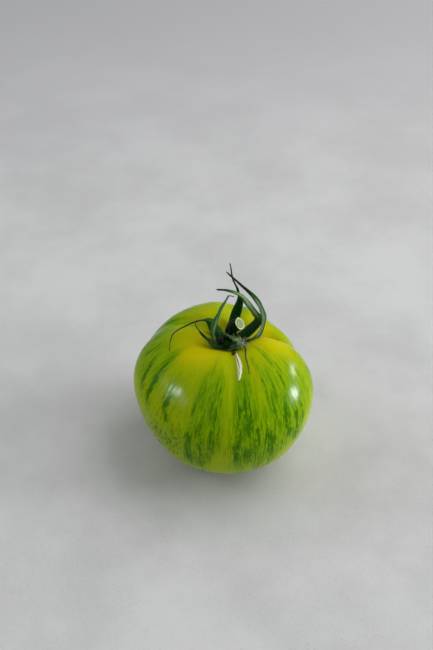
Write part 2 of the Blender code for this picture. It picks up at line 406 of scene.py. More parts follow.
@dataclass(frozen=True)
class LeafFinish:
    """Soft green leaf: dark inside, partly painted shade, greyer outside, paler along its rib and edges,
    brown where it dried.
    """

    name: str
    # Partly the inner face's own dark green and partly painted shade.
    inner: Colour = srgb(5, 52, 3)
    outer: Colour = srgb(38, 90, 20)
    rib: Colour = srgb(96, 140, 66)
    # The silvery streak's colour: partly the sepal's own pale tone, partly a painted sheen.
    silver_and_sheen: Colour = srgb(166, 192, 156)
    dry: Colour = srgb(78, 66, 40)
    dry_dark: Colour = srgb(26, 24, 14)
    mottle: Grain = Grain(900.0, 4.0, 0.6)
    patches: Grain = Grain(260.0)
    veins: Grain = Grain(1.0, 3.0, 0.6, 0.4)
    relief: float = 0.12 * MM

    def material(self) -> bpy.types.Material:
        """Builds the leaf's material.

        Returns:
            The material, which reads the numbers that Calyx and Scrap store on their meshes.
        """
        n = Nodes(self.name)
        place, across, outside = n.place(), n.attribute("across"), n.attribute("outside")
        mottle, patches = n.noise(place, self.mottle), n.noise(place, self.patches)
        veins = n.noise(n.vector_attribute("weave"), self.veins)
        # The dark inner face is partly the sepal's own colour and partly painted shade.
        colour = n.mix(self.inner, self.outer, (outside + patches.swing(0.6)).step(0.15, 0.95))
        colour = n.mix(colour, self.rib, abs(across).step(0.2, 0.0) * outside * 0.55)
        colour = n.mix(colour, self.rib, abs(across).step(0.8, 1.0) * (0.24 + outside * 0.2))
        colour = n.mix(colour, self.rib, veins.step(0.54, 0.7) * (0.03 + outside * 0.25))
        # The silvery streak, partly the sepal's own pale tone and partly a painted sheen.
        pale = n.attribute("pale") + veins.swing(0.8) + mottle.swing(0.4)
        colour = n.mix(colour, self.outer, pale.step(0.12, 0.5) * 0.8)
        colour = n.mix(colour, self.silver_and_sheen, pale.step(0.55, 1.05) * 0.85)
        colour = n.mix(colour, self.inner, mottle.step(0.52, 0.75) * 0.45)
        # Painted shade: each sepal is painted darker towards the hub, where its base lies in shadow.
        colour = n.mix(colour, self.inner, n.attribute("along").step(0.34, 0.08) * 0.6)
        withered = n.mix(self.dry, self.dry_dark, (mottle + veins.swing()).step(0.42, 0.62))
        dried = (n.attribute("dryness") + patches.swing(0.5)).step(0.3, 0.75)
        colour = n.mix(colour, withered, dried)
        roughness = 0.52 + mottle.swing(0.3) + dried * 0.2
        return n.finish(colour, roughness, veins * 0.7 + mottle * 0.5, self.relief, {
            "IOR": 1.14, "Sheen Weight": 0.015, "Sheen Roughness": 0.4,
            "Subsurface Weight": 0.06, "Subsurface Scale": 0.5 * MM, "Subsurface Radius": (0.5, 1.0, 0.3)})


@dataclass(frozen=True)
class StalkFinish:
    """The stem: green and downy along its side, with pale rings of tissue at the cut."""

    side: Colour = srgb(12, 38, 5)
    side_dark: Colour = srgb(3, 12, 2)
    cortex: Colour = srgb(176, 194, 124)
    ring: Colour = srgb(62, 86, 40)
    pith: Colour = srgb(150, 166, 134)
    # Random bruising on the cut, and painted shade in the cut's sunk middle.
    bruise_and_pit_shade: Colour = srgb(64, 74, 40)
    mottle: Grain = Grain(1100.0, 4.0, 0.6)
    lines: Grain = Grain(1.0, 3.0, 0.6)
    relief: float = 0.12 * MM

    def material(self) -> bpy.types.Material:
        """Builds the stalk's material.

        Returns:
            The material, which reads the numbers that Stem stores on its mesh.
        """
        n = Nodes("stalk")
        mottle = n.noise(n.place(), self.mottle)
        lines = n.noise(n.vector_attribute("weave"), self.lines)
        side = n.mix(self.side, self.side_dark, (lines + mottle.swing(0.5)).step(0.42, 0.62))
        radius = n.attribute("out") + mottle.swing(0.12)
        face = n.mix(self.pith, self.cortex, radius.step(0.5, 0.6))
        face = n.mix(face, self.ring, radius.step(0.5, 0.56) * radius.step(0.7, 0.62) * 0.9)
        # Painted shade in the sunk middle of the cut.
        face = n.mix(face, self.bruise_and_pit_shade, radius.step(0.2, 0.02) * 0.55)
        face = n.mix(face, self.bruise_and_pit_shade, mottle.step(0.54, 0.7) * 0.35)
        face = n.mix(face, self.ring, radius.step(0.9, 0.98))
        colour = n.mix(side, face, n.attribute("cut").step(0.4, 0.6))
        return n.finish(colour, 0.55 + mottle.swing(0.25), lines * 0.6 + mottle * 0.5, self.relief, {
            "IOR": 1.14, "Subsurface Weight": 0.08,
            "Subsurface Scale": 0.6 * MM, "Subsurface Radius": (0.5, 1.0, 0.3)})


@dataclass(frozen=True)
class DownFinish:
    """Fine hairs or threads, paler towards their tips."""

    name: str = "down"
    root: Colour = srgb(70, 104, 56)
    tip: Colour = srgb(178, 190, 158)
    speckle: Grain = Grain(800.0)

    def material(self) -> bpy.types.Material:
        """Builds the hairs' material.

        Returns:
            The material, which reads how far along a hair each point is.
        """
        n = Nodes(self.name)
        speckle = n.noise(n.place(), self.speckle)
        colour = n.mix(self.root, self.tip, (n.attribute("along") + speckle.swing(0.4)).step(0.1, 0.8))
        return n.finish(colour, 0.5 + speckle.swing(0.2), None, 0.0, {"IOR": 1.4})


@dataclass(frozen=True)
class FloorFinish:
    """A plain, pale, matt slab, faintly clouded, gritty near the front, with painted falloff of light that
    darkens it further back.
    """

    light: Colour = srgb(206, 206, 207)
    dark: Colour = srgb(193, 193, 194)
    grit: Colour = srgb(172, 171, 170)
    # Painted falloff of light: the colour that the floor turns to further back.
    far: Colour = srgb(182, 182, 184)
    clouds: Grain = Grain(14.0, 5.0, 0.62)
    grains: Grain = Grain(1100.0, 4.0, 0.75)
    pits: Grain = Grain(900.0, 3.0, 0.6)
    relief: float = 0.05 * MM

    def material(self) -> bpy.types.Material:
        """Builds the floor's material.

        Returns:
            The material.
        """
        n = Nodes("floor")
        place = n.place()
        behind = Wire(n, n.add("ShaderNodeSeparateXYZ", None, {0: place}).outputs["Y"])
        clouds = n.noise(place, self.clouds)
        grains = n.noise(place, self.grains) + clouds.swing(0.2)
        colour = n.mix(self.light, self.dark, clouds.step(0.36, 0.64))
        colour = n.mix(colour, self.grit, grains.step(0.52, 0.7) * behind.step(0.12, -0.08) * 0.5)
        # Painted falloff of light: darker further back.
        colour = n.mix(colour, self.far, behind.step(0.10, 0.45))
        roughness, pits = 0.75 + clouds.swing(0.1), n.noise(place, self.pits)
        return n.finish(colour, roughness, pits, self.relief, {"Specular IOR Level": 0.0})


# ---------------------------------------------------------------- geometry helpers


def wrapped(angle: np.ndarray) -> np.ndarray:
    """Returns angles in radians brought between -pi and pi."""
    return (angle + np.pi) % (2 * np.pi) - np.pi


def bell(angle: np.ndarray, centre: float, half_width: float) -> np.ndarray:
    """A bell around one azimuth.

    Args:
        angle: azimuths in radians.
        centre: where it peaks, in degrees.
        half_width: how wide it is, in degrees.

    Returns:
        Values from 0 to 1.
    """
    return np.exp(-((wrapped(angle - np.radians(centre)) / np.radians(half_width)) ** 2))


def fade(value: Any, low: float, high: float) -> Any:
    """Returns a smooth fade from 0 at low to 1 at high, for a number or an array."""
    share = np.clip((value - low) / (high - low), 0.0, 1.0)
    return share * share * (3 - 2 * share)


def curve_point(points: Sequence[Vector], share: float) -> Vector:
    """A point of the smooth curve through some points.

    Args:
        points: the points that the curve passes through.
        share: how far along it is, from 0 to 1.

    Returns:
        The point.
    """
    place = min(max(share, 0.0), 1.0) * (len(points) - 1)
    index = min(int(place), len(points) - 2)
    t = place - index
    last = len(points) - 1
    before, start, end, after = (points[min(max(index + step, 0), last)] for step in (-1, 0, 1, 2))
    return 0.5 * (2 * start + (end - before) * t + (2 * before - 5 * start + 4 * end - after) * t**2
                  + (3 * start - before - 3 * end + after) * t**3)


def ring_faces(rings: int, around: int) -> list[tuple[int, ...]]:
    """Faces that join rings of points into a tube and close its two ends.

    Args:
        rings: the number of rings.
        around: the number of points in each.

    Returns:
        The faces, facing out when each ring turns anticlockwise seen from the far end.
    """
    faces: list[tuple[int, ...]] = []
    for ring in range(rings - 1):
        for step in range(around):
            after = (step + 1) % around
            faces.append((ring * around + step, ring * around + after,
                          (ring + 1) * around + after, (ring + 1) * around + step))
    faces.append(tuple(reversed(range(around))))
    faces.append(tuple(range((rings - 1) * around, rings * around)))
    return faces


def make_object(name: str, points: Any, faces: Iterable[Sequence[int]], material: bpy.types.Material,
                numbers: dict[str, Any] | None = None) -> bpy.types.Object:
    """Makes a smooth-shaded object.

    Args:
        name: its name.
        points: its vertices.
        faces: its faces, as vertex numbers.
        material: its finish.
        numbers: numbers or vectors stored on its vertices, by name.

    Returns:
        The object, linked to the scene.
    """
    mesh = bpy.data.meshes.new(name)
    mesh.from_pydata([tuple(point) for point in points], [], list(faces))
    for key, values in (numbers or {}).items():
        array = np.asarray(values, dtype=np.float32)
        kind, slot = ("FLOAT_VECTOR", "vector") if array.ndim == 2 else ("FLOAT", "value")
        mesh.attributes.new(key, kind, "POINT").data.foreach_set(slot, array.ravel())
    mesh.validate()
    mesh.shade_smooth()
    mesh.materials.append(material)
    made = bpy.data.objects.new(name, mesh)
    bpy.context.scene.collection.objects.link(made)
    return made


def install(piece: bpy.types.Object, slot: str, *nodes: str) -> bpy.types.Object:
    """Hands a finished piece to the frame.

    Args:
        piece: the piece.
        slot: not used.
        nodes: the CAD nodes that it stands for.

    Returns:
        The piece.
    """
    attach(piece, BODY)
    for node in nodes:
        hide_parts(node)
    LOG.info("%s: %d faces", piece.name, len(piece.data.polygons))
    return piece


# ---------------------------------------------------------------- fruit


@dataclass(frozen=True)
class Streak:
    """One dark streak down the skin, in degrees; slant is how far its azimuth moves from end to end."""

    azimuth: float
    start: float
    end: float
    width: float = 3.0
    strength: float = 0.8
    slant: float = 0.0


FRONT_STREAKS = (
    Streak(-92, 46, 66, 3.0, 0.75, -1), Streak(-76, 54, 76, 3.4, 1.0, 9), Streak(-83, 60, 76, 2.2, 0.5, 4),
    Streak(-64, 42, 82, 3.6, 1.0, 9), Streak(-70, 47, 60, 1.9, 0.6, 3), Streak(-58, 66, 84, 1.9, 0.5, 4),
    Streak(-43, 61, 77, 4.4, 1.15, 3), Streak(-39, 70, 85, 3.2, 0.95, 4), Streak(-52, 86, 95, 2.5, 0.6),
    Streak(-33, 76, 92, 2.2, 0.55, 3), Streak(-29, 84, 108, 2.3, 0.6), Streak(-36, 94, 112, 2.3, 0.6),
    Streak(-44, 88, 104, 2.2, 0.55), Streak(-20, 78, 113, 3.6, 0.98, 1), Streak(-21, 46, 80, 2.0, 0.62),
    Streak(-17, 28, 54, 2.0, 0.5), Streak(-16, 52, 86, 2.3, 0.72), Streak(-13, 60, 92, 2.2, 0.7),
    Streak(-12, 82, 114, 3.0, 0.9), Streak(-9, 40, 72, 2.0, 0.66), Streak(-7, 84, 104, 2.0, 0.7),
    Streak(-5, 42, 96, 2.5, 0.78), Streak(-2, 66, 92, 1.9, 0.66), Streak(10, 54, 108, 3.1, 0.9, -1),
    Streak(16, 46, 82, 4.5, 0.94, 1), Streak(16, 90, 107, 4.8, 0.92), Streak(18, 76, 98, 2.7, 0.8),
    Streak(13, 30, 52, 1.9, 0.4), Streak(18, 32, 54, 1.5, 0.45), Streak(22, 68, 97, 3.0, 0.88),
    Streak(30, 75, 105, 5.2, 0.98, 3), Streak(31, 28, 74, 1.9, 0.56, 2), Streak(34, 44, 80, 2.3, 0.68),
    Streak(38, 40, 74, 2.0, 0.62), Streak(42, 62, 94, 3.9, 0.95, 1), Streak(38, 90, 106, 3.2, 0.72),
    Streak(46, 20, 62, 1.9, 0.6, 5), Streak(49, 68, 102, 2.8, 0.8), Streak(50, 30, 60, 1.7, 0.5, 4),
    Streak(55, 58, 92, 2.7, 0.72), Streak(56, 26, 52, 1.7, 0.45, 5), Streak(63, 50, 88, 2.5, 0.55),
    Streak(24, 98, 117, 3.0, 0.72), Streak(14, 104, 120, 2.5, 0.6), Streak(-22, 106, 120, 2.5, 0.6),
    Streak(52, 90, 104, 3.0, 0.62), Streak(3, 84, 112, 1.5, 0.35), Streak(31, 104, 120, 2.8, 0.62),
    Streak(-108, 50, 96, 3.0, 0.8), Streak(-100, 72, 106, 2.6, 0.85), Streak(-90, 84, 114, 2.8, 0.85),
    Streak(-80, 94, 120, 2.4, 0.75), Streak(-70, 100, 122, 2.4, 0.75), Streak(-62, 106, 124, 2.4, 0.65),
)


@dataclass
class Fruit:
    """The fruit: the frame's own form at a fine grain, with the small relief of its skin.

    belly_power, shoulder_power: how square its side is below and above; 2 is round.
    hollow_aside, aside_power: how far the hollow lies to the right and behind the middle, and how fast that
        fades down the side.
    lobes, creases: where the side swells or is drawn in, as (azimuth in degrees, share of the radius,
        half its width in degrees).
    segments, rings, pole_density: how finely the skin is divided, and how much finer near its poles.
    ripe_patch, speckled_patch: (azimuth, half width, polar angle, half height) in degrees.
    """

    radius: float = 34.2 * MM
    shoulder_rise: float = 24.3 * MM
    belly_depth: float = 32.3 * MM
    belly_power: float = 2.16
    shoulder_power: float = 2.0
    rest_radius: float = 8.0 * MM
    hollow_depth: float = 10.4 * MM
    hollow_radius: float = 8.6 * MM
    hollow_power: float = 2.7
    hollow_aside: tuple[float, float] = (3.6 * MM, 5.6 * MM)
    aside_power: float = 1.5
    lobes: tuple[tuple[float, float, float], ...] = ((-55, -0.080, 45), (52, 0.048, 38), (130, -0.109, 28))
    creases: tuple[tuple[float, float, float], ...] = (
        (5, 0.015, 11), (100, 0.090, 14), (172, 0.037, 14), (-118, 0.036, 11))
    lobe_lift: float = 28 * MM
    crease_drop: float = 90 * MM
    crease_reach: float = 14 * MM
    crease_spread: float = 9 * MM
    segments: int = 400
    rings: int = 238
    pole_density: float = 0.45
    back_streaks: int = 46
    under_streaks: int = 30
    ripe_patch: Patch = (-38, 15, 84, 16)
    speckled_patch: Patch = (-42, 26, 98, 20)
    unevenness: float = 0.22 * MM
    scar_height: float = 0.30 * MM
    seam_depth: float = 0.25 * MM
    scab_depth: float = 0.2 * MM
    blossom_pit: float = 0.5 * MM
    scale: np.ndarray = field(default_factory=lambda: np.ones(3))
    shift: np.ndarray = field(default_factory=lambda: np.zeros(3))

    def form(self, azimuth: np.ndarray, polar: np.ndarray) -> np.ndarray:
        """The fruit's form before it is set in the frame.

        Args:
            azimuth: around the stem's axis, in radians.
            polar: from the hollow to the blossom end, in radians.

        Returns:
            The points, in metres.
        """
        up, out = np.cos(polar), np.sin(polar)
        upper = fade(up, -0.5, 0.5)
        rest_share = (1 - (self.rest_radius / self.radius) ** self.belly_power) ** (1 / self.belly_power)
        below = self.belly_depth / rest_share
        height = below + (self.shoulder_rise - below) * upper
        power = self.belly_power + (self.shoulder_power - self.belly_power) * upper
        reach = (np.abs(out) ** power + np.abs(up) ** power) ** (-1 / power)
        lobe = sum(share * bell(azimuth, centre, width) for centre, share, width in self.lobes)
        crease = sum(share * bell(azimuth, centre, width) for centre, share, width in self.creases)
        distance = self.radius * out * reach * (1 + lobe - crease * (0.25 + (1 + up) / 2))
        pull = np.exp(-(((distance - self.crease_reach) / self.crease_spread) ** 2))
        rim = 1 - np.exp(-((distance / self.hollow_radius) ** 2))
        raised = (self.lobe_lift * lobe - self.crease_drop * crease * pull) * np.clip(up, 0, 1) * rim
        hollow = self.hollow_depth / (1 + (distance / self.hollow_radius) ** self.hollow_power)
        z = height * up * reach + raised - hollow * np.clip(3 * up, 0.0, 1.0)
        z = np.maximum(z + self.belly_depth, 0.0)
        aside = np.clip(up, 0.0, 1.0) ** self.aside_power
        x = distance * np.sin(azimuth) + self.hollow_aside[0] * aside
        y = -distance * np.cos(azimuth) + self.hollow_aside[1] * aside
        return np.stack([x, y, z], -1)

    def fit(self) -> None:
        """Sets the form into the box of the frame's fruit."""
        azimuth, polar = np.meshgrid(np.radians(np.arange(-180, 180, 2.5)),
                                     np.linspace(0.001, np.pi - 0.001, 160), indexing="ij")
        points = self.form(azimuth, polar).reshape(-1, 3)
        low, high = (np.array(corner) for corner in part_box("fruit"))
        self.scale = (high - low) / (points.max(0) - points.min(0))
        self.shift = low - points.min(0) * self.scale

    def surface(self, azimuth: np.ndarray, polar: np.ndarray) -> np.ndarray:
        """Returns points of the skin in the frame, for angles in radians."""
        return self.form(azimuth, polar) * self.scale + self.shift

    def floor(self) -> Vector:
        """Returns the middle of the hollow's floor."""
        return Vector(self.surface(np.array(0.0), np.array(1e-4)))

    def streaks(self) -> list[Streak]:
        """All the streaks: those of the front, and more of their kind round the back and underneath.

        Returns:
            The streaks.
        """
        rng = np.random.default_rng(11)
        found = list(FRONT_STREAKS)
        first, reach = 74, 186
        for index in range(self.back_streaks):
            azimuth = first + (index + rng.uniform(0.1, 0.9)) * reach / self.back_streaks
            # The shoulder beyond the right crease stays yellow, and the right flank only faintly striped.
            start = rng.uniform(34, 84) + 34 * math.exp(-(((azimuth - 108) / 28) ** 2))
            faint = 1 - 0.45 * math.exp(-(((azimuth - 88) / 15) ** 2))
            found.append(Streak(azimuth, start, start + rng.uniform(18, 46), rng.uniform(1.8, 3.4),
                                rng.uniform(0.4, 0.98) * faint, rng.uniform(-3, 3)))
        for index in range(self.under_streaks):
            start = rng.uniform(124, 134)
            found.append(Streak((index + rng.uniform(0.1, 0.9)) * 360 / self.under_streaks, start,
                                start + rng.uniform(10, 28), rng.uniform(2.4, 4.6), rng.uniform(0.5, 0.9)))
        return found

    def stripe_amounts(self, azimuth: np.ndarray, polar: np.ndarray) -> tuple[np.ndarray, np.ndarray]:
        """How strongly each point belongs to a streak, and to the greener skin around the streaks.

        Args:
            azimuth: in radians.
            polar: in radians.

        Returns:
            Both, from 0 to 1.
        """
        core, zone = np.zeros_like(azimuth), np.zeros_like(azimuth)
        degrees = np.degrees(polar)
        for streak in self.streaks():
            middle = (streak.start + streak.end) / 2
            share = (degrees - middle) / (streak.end - streak.start)
            offset = np.degrees(wrapped(azimuth - np.radians(streak.azimuth + streak.slant * share)))
            across = np.exp(-((offset / streak.width) ** 2))
            along = fade(degrees, streak.start - 10, streak.start + 8)
            along = along * (1 - fade(degrees, streak.end - 9, streak.end + 8))
            core = np.maximum(core, streak.strength * across * along)
            across = np.exp(-((offset / (streak.width + 2.0)) ** 2))
            along = fade(degrees, streak.start - 22, streak.start + 4)
            along = along * (1 - fade(degrees, streak.end - 8, streak.end + 12))
            zone = 1 - (1 - zone) * (1 - 0.75 * streak.strength * across * along)
        return core, zone

    def build(self) -> bpy.types.Object:
        """Builds the fruit.

        Returns:
            The finished piece.
        """
        self.fit()
        even = (np.arange(1, self.rings + 1)) / (self.rings + 1)
        rows = np.pi * (even - self.pole_density * np.sin(2 * np.pi * even) / (2 * np.pi))
        columns = np.linspace(-np.pi, np.pi, self.segments, endpoint=False)
        polar, azimuth = np.meshgrid(rows, columns, indexing="ij")
        marks = self._marks(azimuth, np.degrees(polar))
        crown = self.surface(np.array([0.0]), np.array([0.0]))
        base = self.surface(np.array([0.0]), np.array([np.pi])) + [[0.0, 0.0, self.blossom_pit]]
        vertices = np.vstack([self._skin(azimuth, polar, marks).reshape(-1, 3), crown, base])
        numbers = self._numbers(azimuth, polar, marks)
        piece = make_object("tomato_fruit", vertices, self._faces(), SkinFinish().material(), numbers)
        return install(piece, "skin", "fruit")

    def _marks(self, azimuth: np.ndarray, degrees: np.ndarray) -> dict[str, np.ndarray]:
        """The marks that show in the skin's colour and in its relief.

        Args:
            azimuth: in radians.
            degrees: the polar angle, in degrees.

        Returns:
            How strong each one is at each point, from 0 to 1: the corky scar and its groove, the brown scab
            above it, the seam below it, and the blossom end.
        """
        scar, groove = self.scar(azimuth, degrees)
        scab = bell(azimuth, 7.5, 6.0) * np.exp(-(((degrees - 16.5) / 2.6) ** 2))
        seam = bell(azimuth, 6.0, 2.2) * fade(degrees, 20, 34) * (1 - fade(degrees, 48, 80))
        blossom = np.exp(-(((180 - degrees) / 4.0) ** 2))
        return {"scar": scar, "groove": groove, "scab": scab, "seam": seam, "blossom": blossom}

    def _skin(self, azimuth: np.ndarray, polar: np.ndarray, marks: dict[str, np.ndarray]) -> np.ndarray:
        """The skin's points, with its relief.

        Args:
            azimuth: in radians.
            polar: in radians.
            marks: what _marks returns for them.

        Returns:
            The points, none of them under the floor.
        """
        tiny = 1e-3
        points = self.surface(azimuth, polar)
        normals = np.cross(self.surface(azimuth, polar + tiny) - self.surface(azimuth, polar - tiny),
                           self.surface(azimuth + tiny, polar) - self.surface(azimuth - tiny, polar))
        normals /= np.maximum(np.linalg.norm(normals, axis=-1, keepdims=True), 1e-12)
        wander = np.array([soft_noise.noise(Vector((4 * math.sin(a), 4 * math.cos(a), 2.5 * p)))
                           for p, a in zip(polar.ravel(), azimuth.ravel())]).reshape(polar.shape)
        relief = self.unevenness * wander * np.sin(polar) + self.scar_height * marks["scar"]
        relief = relief - self.seam_depth * marks["seam"] - self.scab_depth * marks["scab"]
        off_the_floor = fade(points[..., 2], 0.0, 3 * MM)
        points = points + normals * (relief * off_the_floor)[..., None]
        points[..., 2] = np.maximum(points[..., 2], 0.0) + marks["blossom"] * self.blossom_pit
        return points

    def _numbers(self, azimuth: np.ndarray, polar: np.ndarray,
                 marks: dict[str, np.ndarray]) -> dict[str, np.ndarray]:
        """The numbers that the skin's finish reads.

        Args:
            azimuth: in radians.
            polar: in radians.
            marks: what _marks returns for them.

        Returns:
            The numbers by name, for the grid's points and then the two poles.
        """
        degrees = np.degrees(polar)
        stripe, zone = self.stripe_amounts(azimuth, polar)
        sunny = 0.3 + 0.7 * np.maximum(bell(azimuth, -58, 40), bell(azimuth, 88, 50))
        sunny = np.maximum(sunny, 0.7 * (1 - fade(degrees, 8, 22)))
        ripe = (1 - fade(degrees, 18, 56 + 24 * bell(azimuth, 96, 40))) * sunny
        ripe = np.maximum(ripe, 0.3 * self._patch(azimuth, polar, self.ripe_patch))
        zone = 1 - (1 - zone) * (1 - 0.22 * fade(degrees, 24, 50) * (1 - fade(degrees, 62, 90)))
        zone = zone * (1 - 0.55 * bell(azimuth, -45, 22) * fade(degrees, 50, 66))
        # Painted shade on the hollow's floor round the calyx, strongest towards the front.
        painted_hollow_shade = (1 - fade(degrees, 11.5, 16.5)) * np.maximum(bell(azimuth, 0, 60), 0.3)
        curls = bell(azimuth, -32, 5) * np.exp(-(((degrees - 58) / 3.0) ** 2))
        crown_and_base = {
            "stripe": (stripe, 0, 0),
            "zone": (zone, 0, 0),
            "shoulder": (ripe, 1, 0),
            # The brighter lower half: partly the skin's own tone, partly painted bounce light.
            "belly": (fade(degrees, 52, 96), 0, 1),
            "scar": (marks["scar"], 0, 0),
            "groove": (marks["groove"], 0, 0),
            "scab": (np.maximum(marks["scab"], marks["blossom"]), 0, 1),
            "painted_hollow_shade": (painted_hollow_shade, 1, 0),
            "speckle": (self._patch(azimuth, polar, self.speckled_patch), 0, 0),
            "blemish": (curls, 0, 0),
        }
        numbers = {name: self._with_poles(*values) for name, values in crown_and_base.items()}
        numbers["grain"] = np.stack([self._with_poles(np.sin(azimuth), 0, 0),
                                     self._with_poles(-np.cos(azimuth), 0, 0),
                                     self._with_poles(polar, 0, math.pi)], -1)
        return numbers

    @staticmethod
    def _patch(azimuth: np.ndarray, polar: np.ndarray, patch: Patch) -> np.ndarray:
        """Returns how much each point lies in a soft-edged patch, from 0 to 1."""
        return bell(azimuth, patch[0], patch[1]) * bell(polar, patch[2], patch[3])

    @staticmethod
    def _with_poles(values: np.ndarray, at_crown: float, at_base: float) -> np.ndarray:
        """Returns the grid's values with those of the two poles after them."""
        return np.concatenate([values.ravel(), [at_crown, at_base]])

    @staticmethod
    def scar(azimuth: np.ndarray, degrees: np.ndarray) -> tuple[np.ndarray, np.ndarray]:
        """The pale corky wedge that runs from the hollow's front rim onto the shoulder, and its groove.

        Args:
            azimuth: in radians.
            degrees: the polar angle, in degrees.

        Returns:
            How much cork there is, and how near the groove along its middle is, from 0 to 1.
        """
        at = (15.0, 20.0, 25.0, 30.0, 35.0, 38.5, 41.0)
        middle = np.interp(degrees, at, (10.5, 12.0, 12.8, 13.2, 12.2, 11.2, 10.4))
        half = np.interp(degrees, at, (1.6, 2.4, 2.9, 3.0, 2.4, 1.3, 0.4))
        offset = np.degrees(wrapped(azimuth - np.radians(middle)))
        scar = np.exp(-np.abs(offset / half) ** 3) * fade(degrees, 15.5, 19) * (1 - fade(degrees, 38.5, 42))
        return scar, scar * np.exp(-(((offset + 0.7) / 0.75) ** 2))

    def _faces(self) -> list[tuple[int, ...]]:
        """The faces of the fruit's grid and its two poles.

        Returns:
            The faces, facing out.
        """
        crown = self.rings * self.segments
        base = crown + 1
        last = (self.rings - 1) * self.segments
        faces: list[tuple[int, ...]] = []
        for step in range(self.segments):
            after = (step + 1) % self.segments
            faces.append((crown, step, after))
            faces.append((base, last + after, last + step))
            for ring in range(self.rings - 1):
                here, below = ring * self.segments, (ring + 1) * self.segments
                faces.append((here + step, below + step, below + after, here + after))
        return faces


# ---------------------------------------------------------------- calyx


class Leaf(Enum):
    """How a sepal is finished."""

    GREEN = "sepal"
    PALE = "pale_sepal"
    DRY = "dry_sepal"


# The inner colours are partly the sepals' own and partly painted shade.
LEAF_COLOURS = {
    Leaf.GREEN: {},
    Leaf.PALE: {"inner": srgb(14, 56, 10), "outer": srgb(66, 120, 44), "rib": srgb(158, 188, 128)},
    Leaf.DRY: {"inner": srgb(24, 76, 12), "outer": srgb(32, 80, 18), "dry": srgb(84, 66, 46)},
}
RECORD_SLOT = {Leaf.GREEN: "sepal", Leaf.PALE: "sepal", Leaf.DRY: "dry_sepal"}


@dataclass(frozen=True)
class Blade:
    """One sepal, laid along the same route as its CAD node.

    leaves: the azimuth in degrees at which it leaves the hub.
    route: the rest of its midline, as (azimuth in degrees, distance from the hub's axis in mm, height
        over the hollow's floor in mm).
    width, base_width: its broadest width and its width at the hub, in mm.
    broadest, tail: how far along it is broadest and where its thin tail starts, from 0 to 1.
    bend: how far its edges turn from its middle, in degrees; they turn further towards the tip.
    twist: how far it has turned at the tip, in degrees.
    dry_from, dry_to: where it starts to be dry and where it is quite dry, from 0 to 1.
    crumple: how far it is crumpled, in mm, around crumple_at.
    hairs: roughly how many hairs stand on it.
    leaf: how it is finished.
    tip_width: how wide its tail is, in mm.
    pale, pale_side: the stretch along which it has a silvery streak, from 0 to 1, and where across the blade
        that streak lies, from -1 to 1. The streak is partly the sepal's own pale tone and partly a painted
        sheen.
    """

    name: str
    leaves: float
    route: tuple[tuple[float, float, float], ...]
    width: float
    base_width: float = 3.0
    broadest: float = 0.3
    tail: float = 0.8
    bend: float = 55.0
    twist: float = 0.0
    dry_from: float = 0.85
    dry_to: float = 1.1
    crumple: float = 0.0
    crumple_at: float = 0.45
    hairs: int = 260
    leaf: Leaf = Leaf.GREEN
    tip_width: float = 0.8
    pale: tuple[float, float] = (2.0, 3.0)
    pale_side: float = -0.4


